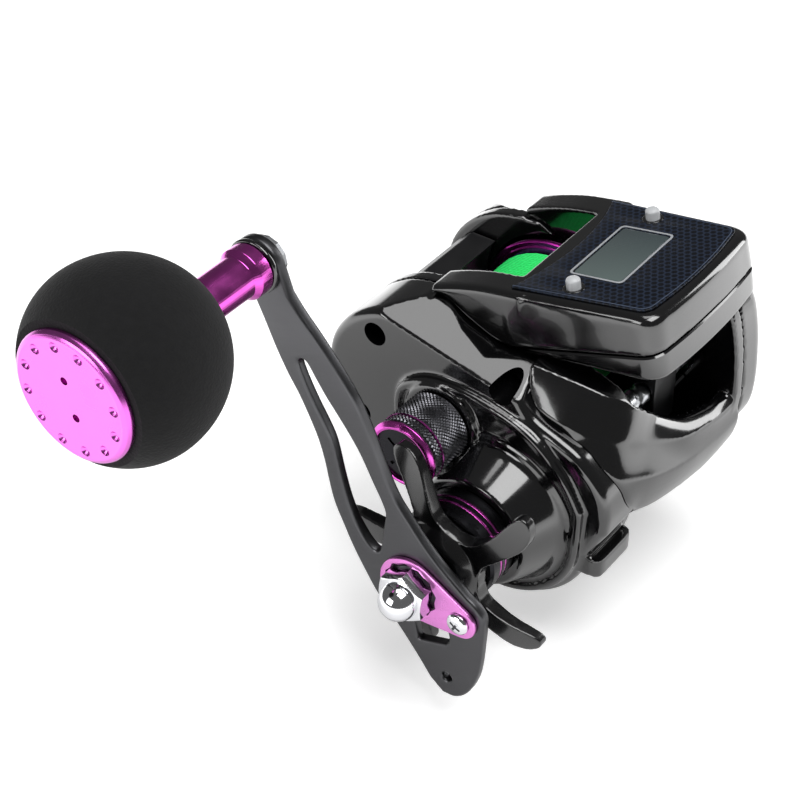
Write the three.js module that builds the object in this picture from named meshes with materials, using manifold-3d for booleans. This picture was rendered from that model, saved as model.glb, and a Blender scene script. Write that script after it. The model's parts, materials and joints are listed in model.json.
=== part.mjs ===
// Low-profile baitcasting reel with an electronic line counter, right-hand retrieve.
// Millimetres. +Z is up, -Y is forward (the side where line leaves) and -X is the handle side.
// The origin is the middle of the foot's underside, where the foot lies on the rod.
// The pieces are drawn in a side frame: x forward, y up, z toward the handle, from the spool's centre.
import * as THREE from 'three';
import { mergeVertices } from 'three/addons/utils/BufferGeometryUtils.js';
import Module from 'manifold-3d';

const wasm = await Module();
wasm.setup();

// Shared clearances
const GAP = 0.3;
const OVERRUN = 1;
const MERGE_TOLERANCE = 1e-4;
const FULL_TURN = Math.PI * 2;
const ROUND = 20;
const FINE_ROUND = 26;
const SMALL_ROUND = 12;
const TINY_ROUND = 6;
const FILLET_STEPS = 3;
const ARC_STEPS = 8;

// Spool, line and spool shaft
const SPOOL_RADIUS = 19;
const SPOOL_WIDTH = 25;
const FLANGE_THICKNESS = 1.7;
const FLANGE_STEP = 0.6;
const ARBOR_RADIUS = 9;
const ARBOR_WALL = 1.5;
const SPOOL_WEB = 3;
const HUB_WALL = 2.2;
const HUB_INSET = 1;
const LINE_CORE_RADIUS = 15.4;
const LINE_DIAMETER = 0.8;
const LINE_LIFT = 0.55;
const WINDING_LOOPS = 12;
const WINDING_STEPS = 16;
const WINDING_SIDES = 4;
const SHAFT_RADIUS = 2;
const SHAFT_KEY_LENGTH = 6.4;
const SHAFT_KEY_WIDTH = 1.4;
const SHAFT_KEY_THICKNESS = 1;

// Frame and covers
const SPOOL_SIDE_GAP = 1;
const FRAME_WALL = 3;
const SHELL_WALL = 1.6;
const CASE_DEPTH = 14;
const PALM_DEPTH = 8.5;
const FLOOR_CLEARANCE = 0.8;
const FLOOR_THICKNESS = 1.9;
const REAR_MARGIN = 11.5;
const TOP_MARGIN = 2.2;
const NOSE_MARGIN = 13;
const NOSE_WALL = 2.2;
const CASE_MARGIN = 0.9;
const CHEEK_DEPTH = 11;
const CASE_BEVEL = 1.4;
const PALM_BEVEL = 2.6;
const RIDGE_BEVEL = 0.7;
const RIDGE_WALL = 1.8;
const RIDGE_DEPTH = 1.1;
const RIDGE_INSET = 1.6;
const CREASE_SHARE = 0.717;
const CREASE_LEAN = 0.214;
const CREASE_SLOPE = 0.367;
const PAD_REACH_SHARE = 0.885;
const PAD_DEPTH = 2.4;
const PAD_HEIGHT = 3.4;
const PAD_HOLE_RADIUS = 0.6;
const SCREW_SEAT = 4;
const CUT_SPAN = 400;
const BAR_THICKNESS = 2.4;
const BRIDGE_RISE = 3;
const WINDOW_LEAD = 1.2;

// Reel foot
const FOOT_LENGTH = 62;
const FOOT_WIDTH = 14;
const FOOT_THICKNESS = 3;
const FOOT_END_THICKNESS = 1.2;
const FOOT_SCREW_SPACING = 22;

// Drive train: pinion on the spool axis, main gear on the handle axis
const DRIVE_ANGLE = -52 * Math.PI / 180;
const GEAR_MODULE = 0.6;
const MAIN_TEETH = 63;
const PINION_TEETH = 10;
const GEAR_BACKLASH = 0.15;
const TOOTH_TIP_SHARE = 0.85;
const TOOTH_ROOT_SHARE = 1.2;
const MAIN_GEAR_WIDTH = 3;
const DRIVE_SHAFT_RADIUS = 2.5;
const DRIVE_THREAD_RADIUS = 4;
const DRIVE_FLANGE_RADIUS = 6.4;
const WASHER_THICKNESS = 1;
const DRAG_RADIUS = 13;
const CLUTCH_RADIUS = 9.3;
const CLUTCH_SLEEVE_RADIUS = 6.2;
const PINION_COLLAR_RADIUS = 4.6;
const PINION_COLLAR_WIDTH = 1.3;
const PINION_TOOTH_WIDTH = 5.7;
const PINION_GROOVE_WIDTH = 1.8;
const PINION_END_RADIUS = 4;
const PINION_SLEEVE_WALL = 0.6;
const YOKE_THICKNESS = 1;
const YOKE_WIDTH = 6;
const YOKE_POST_SPACING = 20;
const YOKE_POST_RADIUS = 1.2;

// Level wind
const WIND_MODULE = 0.8;
const WIND_DRIVE_TEETH = 24;
const WIND_IDLER_TEETH = 15;
const WIND_WORM_TEETH = 14;
const WIND_GEAR_WIDTH = 1.8;
const WIND_FIRST_ANGLE = 62 * Math.PI / 180;
const WIND_SECOND_ANGLE = 37 * Math.PI / 180;
const WORM_RADIUS = 2.4;
const GUIDE_ROD_RADIUS = 1.2;
const GUIDE_ROD_DROP = 7.2;
const ROD_SEAT = 2;
const GUIDE_WIDTH = 9;
const GUIDE_DEPTH = 6.6;
const GUIDE_EYE_RISE = 6.6;
const GUIDE_EYE_RADIUS = 1.9;
const GUIDE_RING_WALL = 0.9;
const GUIDE_WALL = 1.9;
const STUB_RADIUS = 1.6;

// Thumb bar behind the spool
const THUMB_TOP = 12.4;
const THUMB_HEIGHT = 9.4;
const THUMB_DEPTH = 9.5;
const THUMB_TRAVEL = 4;
const THUMB_FRONT_SHARE = 0.8;
const THUMB_LUG = 3;
const LUG_REAR_SHARE = 0.86;

// Cast control cap on the spool axis
const CAP_RADIUS = 7.7;
const CAP_LENGTH = 13;
const CAP_STANDOFF = 2.8;
const CAP_WALL = 1.4;
const CAP_RING_WIDTH = 1.6;
const CAP_GROOVE_DEPTH = 0.3;
const BEARING_OUTER = 5;
const BEARING_SETBACK = 0.2;

// Drag collar and star
const BOSS_RADIUS = 17;
const BOSS_TOP_RADIUS = 12.3;
const BOSS_HEIGHT = 10.2;
const RIDGE_HEIGHT = 1.9;
const COLLAR_RADIUS = 10.9;
const COLLAR_LENGTH = 8.2;
const COLLAR_GROOVE_DEPTH = 0.4;
const COLLAR_GROOVE_WIDTH = 0.75;
const STAR_ARMS = 5;
const STAR_REACH = 26.5;
const STAR_ARM_WIDTH = 7;
const STAR_HUB_RADIUS = 10;
const STAR_HUB_LENGTH = 6;
const STAR_ARM_THICKNESS = 3.4;
const STAR_BEND = 2.4;
const STAR_FIRST_ANGLE = 34 * Math.PI / 180;

// Handle
const HANDLE_ANGLE = 27.6 * Math.PI / 180;
const HANDLE_LENGTH = 73.6;
const ARM_STANDOFF = 2.5;
const ARM_THICKNESS = 2.4;
const ARM_RISE = 3;
const ARM_RISE_START = 12;
const ARM_RISE_LENGTH = 50;
const ARM_END_RADIUS = 5.5;
const ARM_HALF_WIDTH = 8;
const NUT_FLATS = 10;
const NUT_HEIGHT = 4.6;
const NUT_DOME = 4.4;
const DOME_SHARES = [[1, 0.3], [0.86, 0.66], [0.5, 0.92]];
const PLATE_THICKNESS = 1;
const PLATE_RADIUS = 7.4;
const PLATE_TIP_RADIUS = 3.8;
const PLATE_SCREW_SIDE = 9.3;
const PLATE_SCREW_DROP = 7.5;
const ARM_BEVEL = 0.5;
const ARM_HOLE_DROP = 22.2;
const ARM_HOLE_SIDE = 2.1;
const ARM_HOLE_RADIUS = 1.1;

// Knob
const POST_RADIUS = 2.2;
const NECK_COLLAR_RADIUS = 5.3;
const NECK_COLLAR_LENGTH = 3.8;
const NECK_RADIUS = 4.3;
const NECK_BORE_RADIUS = 2.9;
const KNOB_STANDOFF = 17.3;
const KNOB_RADIUS = 19.2;
const KNOB_WIDEST_REACH = 36.3;
const KNOB_END_REACH = 47.7;
const KNOB_FRONT_LENGTH = 19.4;
const KNOB_BACK_LENGTH = 17.5;
const KNOB_STEPS = 10;
const KNOB_CAP_RADIUS = 13.1;
const KNOB_CAP_THICKNESS = 2;
const DIMPLE_COUNT = 12;
const DIMPLE_CIRCLE = 10.2;
const DIMPLE_RADIUS = 0.95;
const PIN_HOLE_SPACING = 7.4;
const PIN_HOLE_ANGLE = 1.1;
const BOSS_RING_RADIUS = 5.7;
const BOSS_RING_LENGTH = 1;

// Counter unit
const COUNTER_TILT = 11 * Math.PI / 180;
const COUNTER_FORWARD = 20.9;
const COUNTER_ABOVE_SPOOL = 12.4;
const COUNTER_FRONT = 20.4;
const COUNTER_REAR = 14.6;
const COUNTER_HALF_WIDTH = 21.8;
const COUNTER_DEPTH = 14.4;
const COUNTER_WALL = 1.8;
const COUNTER_CORNER = 4;
const COUNTER_TAPER = 1.6;
const COUNTER_BOW = 1.4;
const ARM_OVERLAP = 3;
const COUNTER_BEVEL = 1.2;
const COUNTER_REAR_HOLLOW = 3.4;
const ARM_PAD_REACH = 33.4;
const ARM_PAD_INNER = 14.2;
const WINDOW_RADIUS = 21.8;
const LABEL_THICKNESS = 0.4;
const LABEL_MARGIN = 1.2;
const LCD_LENGTH = 11;
const LCD_WIDTH = 19.6;
const LCD_THICKNESS = 1.2;
const MODULE_THICKNESS = 2;
const MODULE_MARGIN = 1.6;
const BOARD_THICKNESS = 1;
const BOARD_LENGTH = 20;
const BOARD_WIDTH = 33;
const BOARD_DROP = 5.4;
const BOARD_FORWARD = 2.5;
const CELL_RADIUS = 8;
const CELL_THICKNESS = 3;
const BATTERY_CAP_RADIUS = 9;
const BATTERY_CAP_THICKNESS = 1.6;
const BATTERY_FORWARD = 4;
const BUTTON_RADIUS = 1.9;
const BUTTON_RISE = 2.6;
const BUTTON_BACK = 1.8;
const BUTTON_SIDE = 15.2;
const BUTTON_FLANGE = 0.9;

// Brake dial and plate on the palm side
const DIAL_RADIUS = 9;
const DIAL_THICKNESS = 1.6;
const DIAL_STEM_RADIUS = 2;
const DIAL_NOTCHES = 12;
const DIAL_NOTCH_RADIUS = 0.7;
const BRAKE_PLATE_THICKNESS = 2.2;

// Small screws and bearings
const SCREW_RADIUS = 1.1;
const SCREW_HEAD_RADIUS = 2.1;
const SCREW_HEAD_HEIGHT = 1.3;
const DEEP_HOLE_RADIUS = 2.7;

// Outlines as shares of the reach and height on each side of the spool axis
const CASE_REAR_SHARES = [[-0.37, 0.985], [-0.6, 0.9], [-0.81, 0.7], [-0.95, 0.42], [-1, 0.12],
  [-0.96, -0.2], [-0.8, -0.6], [-0.56, -0.86]];
const CASE_FRONT_SHARES = [[0.865, -0.98], [0.9, -0.6], [0.905, -0.38], [0.885, -0.18], [0.825, 0.01],
  [0.725, 0.19], [0.62, 0.285], [0.49, 0.385], [0.41, 0.53], [0.36, 0.72]];
const PALM_REAR_SHARES = [[-0.37, 0.985], [-0.6, 0.9], [-0.81, 0.7], [-0.95, 0.42], [-1, 0.12],
  [-0.97, -0.2], [-0.82, -0.58], [-0.58, -0.86], [-0.3, -0.985]];
const PALM_FRONT_SHARES = [[0.6, -0.985], [0.86, -0.8], [0.97, -0.55], [1, -0.22], [0.985, 0.3],
  [0.95, 0.68], [0.91, 0.86]];
const RIDGE_UPPER_SHARES = [[0.79, -0.38], [0.68, -0.03], [0.5, 0.29], [0.28, 0.43], [0.055, 0.475],
  [-0.17, 0.41], [-0.36, 0.2], [-0.4, -0.1], [-0.34, -0.52]];
const CHEEK_FRONT_SHARES = [[0.93, -0.38], [0.93, -0.05], [0.875, 0.3], [0.79, 0.62], [0.6, 0.7]];
const LIP_SHARES = [[1.25, 0.62], [0.95, 0.42], [0.6, 0.16], [0.15, 0.01], [-0.4, -0.12], [-0.85, -0.18],
  [-1.25, -0.12]];
const ARM_TOP_SHARES = [[0.64, -0.015], [0.83, -0.08], [0.985, -0.165]];
const ARM_UNDER_SHARES = [[1, -0.285], [0.89, -0.32], [0.73, -0.6], [0.53, -0.865], [0.35, -0.875]];
const HANDLE_RIGHT_SHARES = [
  [0.905, 0.562], [0.851, 0.662], [0.792, 0.812], [0.726, 0.938], [0.645, 1.038], [0.572, 1.062],
  [0.47, 0.95], [0.401, 0.838], [0.332, 0.738], [0.268, 0.713], [0.211, 0.8], [0.141, 0.95],
  [0.072, 1.163], [0.011, 1.413], [-0.039, 1.675], [-0.071, 1.9], [-0.101, 1.95], [-0.133, 1.775],
  [-0.188, 1.438], [-0.269, 0.975], [-0.319, 0.6], [-0.357, 0.15], [-0.37, -0.275], [-0.356, -0.65],
];
const HANDLE_LEFT_SHARES = [
  [-0.306, -0.863], [-0.239, -0.963], [-0.173, -1.087], [-0.132, -1.175], [-0.034, -1.4],
  [0.052, -1.488], [0.129, -1.525], [0.201, -1.5], [0.272, -1.438], [0.345, -1.238], [0.404, -1.038],
  [0.474, -0.85], [0.538, -0.75], [0.617, -0.675], [0.686, -0.675], [0.766, -0.637], [0.832, -0.588],
  [0.904, -0.562],
];
const HANDLE_SLOT_SHARES = [
  [0.708, -0.163], [0.723, 0], [0.712, 0.138], [0.662, 0.163], [0.606, 0.188], [0.554, 0.237],
  [0.489, 0.287], [0.435, 0.3], [0.389, 0.275], [0.326, 0.225], [0.273, 0.2], [0.23, 0.125],
  [0.177, -0.212], [0.121, -0.575], [0.111, -0.725], [0.121, -0.85], [0.156, -0.963],
  [0.215, -1.012], [0.28, -0.938], [0.357, -0.738], [0.423, -0.525], [0.474, -0.388],
  [0.526, -0.338], [0.584, -0.312], [0.645, -0.263],
];
const HANDLE_WINDOW_SHARES = [
  [-0.106, -0.487], [-0.175, -0.675], [-0.19, 0.3], [-0.162, 0.45], [-0.125, 0.487], [-0.114, 0.075],
];
const PARTING_REAR_SHARE = 0.875;
const PARTING_FRONT_SHARE = 0.56;
const BOTTOM_REAR_SHARE = 0.915;

// Stations along the spool axis
const spoolHalf = SPOOL_WIDTH / 2;
const wallInner = spoolHalf + SPOOL_SIDE_GAP;
const wallOuter = wallInner + FRAME_WALL;
const coverInner = wallOuter + GAP;
const caseFace = coverInner + CASE_DEPTH;
const palmFace = coverInner + PALM_DEPTH;
const ridgeFace = caseFace + RIDGE_HEIGHT;
const bossFace = caseFace + BOSS_HEIGHT;
const collarStart = bossFace + GAP;
const starStart = collarStart + COLLAR_LENGTH + GAP;
const starEnd = starStart + STAR_HUB_LENGTH;
const armBack = starEnd + ARM_STANDOFF;
const armFace = armBack + ARM_THICKNESS;
const knobFace = armFace + ARM_RISE;
const knobStart = knobFace + KNOB_STANDOFF;
const knobWidest = knobFace + KNOB_WIDEST_REACH;
const knobEnd = knobFace + KNOB_END_REACH;
const plateFace = armFace + GAP + PLATE_THICKNESS;
const nutStart = armFace + GAP;
const capStart = caseFace + CAP_STANDOFF;
const capEnd = capStart + CAP_LENGTH;
const bearingWidth = FRAME_WALL - BEARING_SETBACK;

// Places of the axes in the side frame
const mainRadius = GEAR_MODULE * MAIN_TEETH / 2;
const pinionRadius = GEAR_MODULE * PINION_TEETH / 2;
const drive = polar([0, 0], mainRadius + pinionRadius, DRIVE_ANGLE);
const windDriveRadius = WIND_MODULE * WIND_DRIVE_TEETH / 2;
const windIdlerRadius = WIND_MODULE * WIND_IDLER_TEETH / 2;
const windWormRadius = WIND_MODULE * WIND_WORM_TEETH / 2;
const idler = polar(drive, windDriveRadius + windIdlerRadius + GEAR_BACKLASH, WIND_FIRST_ANGLE);
const worm = polar(idler, windIdlerRadius + windWormRadius + GEAR_BACKLASH, WIND_SECOND_ANGLE);

const rodPlace = [worm[0], worm[1] - GUIDE_ROD_DROP];
const mainTurn = DRIVE_ANGLE + Math.PI;
const wormRoomEnd = coverInner + WIND_GEAR_WIDTH + GAP * 3;

// Reach and height of the body round the spool axis
const rearReach = SPOOL_RADIUS + REAR_MARGIN;
const lugRear = -rearReach * LUG_REAR_SHARE;
const frontReach = worm[0] + NOSE_MARGIN;
const bodyRise = SPOOL_RADIUS + TOP_MARGIN;
const floorTop = -(SPOOL_RADIUS + FLOOR_CLEARANCE);
const floorBottom = floorTop - FLOOR_THICKNESS;
const bodyDrop = -floorBottom;
const footTop = floorBottom - GAP;
const footBottom = footTop - FOOT_THICKNESS;
const caseRadius = mainRadius + GEAR_MODULE + CASE_MARGIN + SHELL_WALL;

// Counter unit's own frame: x forward along the label, y out of the label
const counterPlace = [COUNTER_FORWARD, SPOOL_RADIUS + COUNTER_ABOVE_SPOOL];

function polar(centre, radius, angle) {
  return [centre[0] + radius * Math.cos(angle), centre[1] + radius * Math.sin(angle)];
}

function bodyPoint(share) {
  const reach = share[0] > 0 ? frontReach : rearReach;
  const height = share[1] > 0 ? bodyRise : bodyDrop;
  return [share[0] * reach, share[1] * height];
}

function fromCounter(point) {
  const along = Math.cos(COUNTER_TILT);
  const across = Math.sin(COUNTER_TILT);
  return [
    counterPlace[0] + point[0] * along - point[1] * across,
    counterPlace[1] + point[0] * across + point[1] * along,
  ];
}

// Closed geometry to solid and back
function solid(geometry) {
  const bare = geometry.clone();
  bare.deleteAttribute('normal');
  bare.deleteAttribute('uv');
  const merged = mergeVertices(bare, MERGE_TOLERANCE);
  const index = merged.index.array;
  const kept = [];
  for (let i = 0; i < index.length; i += 3) {
    const [a, b, c] = [index[i], index[i + 1], index[i + 2]];
    if (a !== b && b !== c && c !== a) kept.push(a, b, c);
  }
  const vertProperties = new Float32Array(merged.attributes.position.array);
  if (signedVolume(vertProperties, kept) < 0) kept.reverse();
  return new wasm.Manifold(new wasm.Mesh({ numProp: 3, vertProperties, triVerts: new Uint32Array(kept) }));
}

function signedVolume(positions, index) {
  let total = 0;
  const corner = (n) => new THREE.Vector3().fromArray(positions, index[n] * 3);
  for (let i = 0; i < index.length; i += 3) {
    total += corner(i).dot(corner(i + 1).cross(corner(i + 2)));
  }
  return total;
}

function surface(body) {
  const mesh = body.getMesh();
  const geometry = new THREE.BufferGeometry();
  geometry.setAttribute('position', new THREE.BufferAttribute(new Float32Array(mesh.vertProperties), 3));
  geometry.setIndex(new THREE.BufferAttribute(new Uint32Array(mesh.triVerts), 1));
  geometry.computeVertexNormals();
  return geometry;
}

function join(...bodies) {
  return bodies.reduce((whole, body) => whole.add(body));
}

function cut(body, ...tools) {
  return tools.reduce((rest, tool) => rest.subtract(tool), body);
}

// A side outline extruded from one station to another
function upright(points, from, to) {
  const shape = new THREE.Shape(points.map(([x, y]) => new THREE.Vector2(x, y)));
  const geometry = new THREE.ExtrudeGeometry(shape, { depth: to - from, bevelEnabled: false });
  geometry.translate(0, 0, from);
  return solid(geometry);
}

// A side outline whose far edge is drawn in by a bevel
function bevelled(outline, from, to, bevel) {
  const points = areaOf(outline) < 0 ? outline.slice().reverse() : outline;
  const inner = inset(points, bevel);
  const count = points.length;
  const positions = [];
  for (const [x, y] of points) positions.push(x, y, from);
  for (const [x, y] of points) positions.push(x, y, to - Math.sign(to - from) * bevel);
  for (const [x, y] of inner) positions.push(x, y, to);
  const index = [];
  for (let ring = 0; ring < 2; ring += 1) {
    for (let i = 0; i < count; i += 1) {
      const a = ring * count + i;
      const b = ring * count + (i + 1) % count;
      index.push(a, b, b + count, a, b + count, a + count);
    }
  }
  const flat = points.map(([x, y]) => new THREE.Vector2(x, y));
  for (const [a, b, c] of THREE.ShapeUtils.triangulateShape(flat, [])) {
    index.push(c, b, a, a + 2 * count, b + 2 * count, c + 2 * count);
  }
  const geometry = new THREE.BufferGeometry();
  geometry.setAttribute('position', new THREE.Float32BufferAttribute(positions, 3));
  geometry.setIndex(index);
  return solid(geometry);
}

// A plan outline, given as forward and sideways points, extruded upward
function slab(points, from, to) {
  const shape = new THREE.Shape(points.map(([x, z]) => new THREE.Vector2(x, -z)));
  const geometry = new THREE.ExtrudeGeometry(shape, { depth: to - from, bevelEnabled: false });
  geometry.rotateX(-Math.PI / 2);
  geometry.translate(0, from, 0);
  return solid(geometry);
}

// A front outline, given as sideways and upward points, extruded forward
function frontal(points, from, to) {
  const shape = new THREE.Shape(points.map(([z, y]) => new THREE.Vector2(-z, y)));
  const geometry = new THREE.ExtrudeGeometry(shape, { depth: to - from, bevelEnabled: false });
  geometry.rotateY(Math.PI / 2);
  geometry.translate(from, 0, 0);
  return solid(geometry);
}

function box(x, y, z) {
  const geometry = new THREE.BoxGeometry(x[1] - x[0], y[1] - y[0], z[1] - z[0]);
  geometry.translate((x[0] + x[1]) / 2, (y[0] + y[1]) / 2, (z[0] + z[1]) / 2);
  return solid(geometry);
}

// A profile of radius and station points turned about a line along the spool axis
function turned(profile, centre = [0, 0], sides = ROUND) {
  const closed = profile[0][0] === 0 ? profile : [...profile, profile[0]];
  const geometry = new THREE.LatheGeometry(closed.map(([r, z]) => new THREE.Vector2(r, z)), sides);
  geometry.rotateX(Math.PI / 2);
  geometry.translate(centre[0], centre[1], 0);
  return solid(geometry);
}

function disc(radius, from, to, centre = [0, 0], sides = ROUND) {
  return turned([[0, from], [radius, from], [radius, to], [0, to]], centre, sides);
}

function ring(inner, outer, from, to, centre = [0, 0], sides = ROUND) {
  return turned([[inner, from], [outer, from], [outer, to], [inner, to]], centre, sides);
}

// A round piece about a line that points out of the counter's label
function pillar(radius, from, to, x, z, sides = SMALL_ROUND) {
  const geometry = new THREE.CylinderGeometry(radius, radius, to - from, sides);
  geometry.translate(x, (from + to) / 2, z);
  return solid(geometry);
}

// Everything on the side of a plane that its normal points to
function halfSpace(origin, normal) {
  const geometry = new THREE.BoxGeometry(CUT_SPAN, CUT_SPAN, CUT_SPAN);
  geometry.translate(0, 0, CUT_SPAN / 2);
  const facing = new THREE.Vector3(...normal).normalize();
  geometry.applyQuaternion(new THREE.Quaternion().setFromUnitVectors(new THREE.Vector3(0, 0, 1), facing));
  geometry.translate(...origin);
  return solid(geometry);
}

// An outline moved inward by one distance along every edge
function inset(points, distance) {
  const side = Math.sign(areaOf(points));
  return points.map((point, i) => {
    const before = points[(i + points.length - 1) % points.length];
    const after = points[(i + 1) % points.length];
    const first = edgeNormal(before, point, side);
    const second = edgeNormal(point, after, side);
    const spread = 1 + first[0] * second[0] + first[1] * second[1];
    return [
      point[0] + distance * (first[0] + second[0]) / spread,
      point[1] + distance * (first[1] + second[1]) / spread,
    ];
  });
}

function areaOf(points) {
  return THREE.ShapeUtils.area(points.map(([x, y]) => new THREE.Vector2(x, y)));
}

function edgeNormal(from, to, side) {
  const length = Math.hypot(to[0] - from[0], to[1] - from[1]);
  return [-side * (to[1] - from[1]) / length, side * (to[0] - from[0]) / length];
}

// An outline with every corner rounded
function rounded(points, radius) {
  const result = [];
  points.forEach((point, i) => {
    const before = points[(i + points.length - 1) % points.length];
    const after = points[(i + 1) % points.length];
    const near = toward(point, before, radius);
    const far = toward(point, after, radius);
    for (let step = 0; step <= FILLET_STEPS; step += 1) {
      const t = step / FILLET_STEPS;
      result.push([0, 1].map((k) => (1 - t) ** 2 * near[k] + 2 * t * (1 - t) * point[k] + t ** 2 * far[k]));
    }
  });
  return result;
}

function toward(from, to, distance) {
  const length = Math.hypot(to[0] - from[0], to[1] - from[1]);
  const share = Math.min(distance / length, 0.5);
  return [from[0] + (to[0] - from[0]) * share, from[1] + (to[1] - from[1]) * share];
}

function arc(centre, radius, from, to, steps) {
  const points = [];
  for (let i = 0; i <= steps; i += 1) {
    points.push(polar(centre, radius, from + (to - from) * i / steps));
  }
  return points;
}

// A toothed outline with straight-sided teeth
function toothed(centre, teeth, module, turn) {
  const pitch = module * teeth / 2;
  const tip = pitch + module * TOOTH_TIP_SHARE;
  const root = pitch - module * TOOTH_ROOT_SHARE;
  const step = FULL_TURN / teeth;
  const points = [];
  for (let i = 0; i < teeth; i += 1) {
    const middle = turn + step * i;
    points.push(polar(centre, root, middle - step * 0.34));
    points.push(polar(centre, tip, middle - step * 0.11));
    points.push(polar(centre, tip, middle + step * 0.11));
    points.push(polar(centre, root, middle + step * 0.34));
  }
  return points;
}

function gear(centre, teeth, module, turn, bore, from, to) {
  return cut(
    upright(toothed(centre, teeth, module, turn), from, to),
    disc(bore, from - OVERRUN, to + OVERRUN, centre, SMALL_ROUND),
  );
}

// The turn of a wheel whose gaps take the teeth of a leading wheel, across one direction
function followTurn(leadTurn, leadTeeth, direction, teeth) {
  const phase = (direction - leadTurn) * leadTeeth / FULL_TURN;
  return direction + Math.PI + (phase - Math.floor(phase) + 0.5) * FULL_TURN / teeth;
}

// Materials
function finish(color, roughness, metalness) {
  return new THREE.MeshStandardMaterial({ color, roughness, metalness });
}

const glossBlack = finish('#0c0d0f', 0.18, 0);
const satinBlack = finish('#141517', 0.45, 0.3);
const pinkMetal = finish('#b03fa0', 0.28, 0.9);
const blackMetal = finish('#2c2d31', 0.38, 0.7);
const bareMetal = finish('#a8abb0', 0.3, 1);
const chrome = finish('#d9dbde', 0.12, 1);
const brass = finish('#b99a55', 0.35, 1);
const foam = finish('#111112', 0.95, 0);
const labelFilm = finish('#1a2133', 0.4, 0);
const glass = finish('#5b666a', 0.15, 0);
const buttonResin = finish('#c9cbc8', 0.5, 0);
const lineGreen = finish('#22dd66', 0.5, 0);
const boardGreen = finish('#1d5a38', 0.6, 0);
const dragFibre = finish('#33302c', 0.9, 0);

const reel = new THREE.Group();
const counter = new THREE.Group();
const handle = new THREE.Group();

function addPiece(parent, name, material, body) {
  const mesh = new THREE.Mesh(surface(body), material);
  mesh.name = name;
  parent.add(mesh);
}

// Body outlines
function caseOutline() {
  const start = Math.PI * 1.18;
  const end = Math.PI * 2 - 0.14;
  return [
    ...CASE_REAR_SHARES.map(bodyPoint),
    ...arc(drive, caseRadius, start, end, ARC_STEPS),
    ...CASE_FRONT_SHARES.slice(1).map(bodyPoint),
    ...underCounter(),
  ];
}

function palmOutline() {
  return [...PALM_REAR_SHARES.map(bodyPoint), ...PALM_FRONT_SHARES.map(bodyPoint), ...underCounter()];
}

// The line just below the counter's rear arms, from the front to the rear
function underCounter() {
  const arms = ARM_UNDER_SHARES.map(([x, y]) => fromCounter([-x * ARM_PAD_REACH, y * COUNTER_DEPTH - GAP]));
  const front = ARM_UNDER_SHARES[ARM_UNDER_SHARES.length - 1][0] * ARM_PAD_REACH;
  arms[arms.length - 1] = fromCounter([-front, -COUNTER_DEPTH * BOTTOM_REAR_SHARE - GAP * 2]);
  return arms.reverse();
}

function cheekOutline() {
  const seam = CASE_FRONT_SHARES.slice(2).map(bodyPoint);
  const moved = seam.map(([x, y]) => [x + GAP, y + GAP]);
  return [...moved.slice().reverse(), ...CHEEK_FRONT_SHARES.map(bodyPoint)];
}

// Where the gear case cover is screwed to the frame
const coverScrews = [
  ['rear', bodyPoint([-0.59, 0.62])],
  ['front', bodyPoint([0.3, 0.57])],
  ['low', bodyPoint([-0.72, -0.42])],
];

const yokeAngle = DRIVE_ANGLE + Math.PI / 2;
const yokePosts = [1, -1].map((side) => polar([0, 0], side * YOKE_POST_SPACING / 2, yokeAngle));

function mainFrame() {
  const gearWall = upright(caseOutline(), wallInner, wallOuter);
  const palmWall = upright(palmOutline(), -wallOuter, -wallInner);
  const floor = box([-rearReach * 0.6, frontReach * 0.9], [floorBottom, floorTop], [-wallInner, wallInner]);
  const rearBar = box(
    [-rearReach * 0.95, -rearReach * 0.95 + BAR_THICKNESS * 2],
    [-bodyDrop * 0.42, THUMB_TOP - THUMB_HEIGHT - THUMB_TRAVEL - GAP * 2],
    [-wallInner, wallInner],
  );
  const bridgeBottom = worm[1] + GUIDE_EYE_RISE + BRIDGE_RISE;
  const bridge = box(
    [worm[0] - GUIDE_DEPTH - BAR_THICKNESS * 2, worm[0] - GUIDE_DEPTH],
    [bridgeBottom, bridgeBottom + BAR_THICKNESS],
    [-wallInner, wallInner],
  );
  let body = join(gearWall, palmWall, floor, rearBar, bridge, nose(), cheek());
  const postRoot = wallOuter - OVERRUN;
  for (const post of yokePosts) {
    body = body.add(disc(YOKE_POST_RADIUS, postRoot, caseFace - SHELL_WALL - GAP, post, SMALL_ROUND));
  }
  body = body.add(disc(STUB_RADIUS, postRoot, coverInner + WIND_GEAR_WIDTH + OVERRUN, idler, SMALL_ROUND));
  return cut(body, ...frameOpenings());
}

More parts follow.
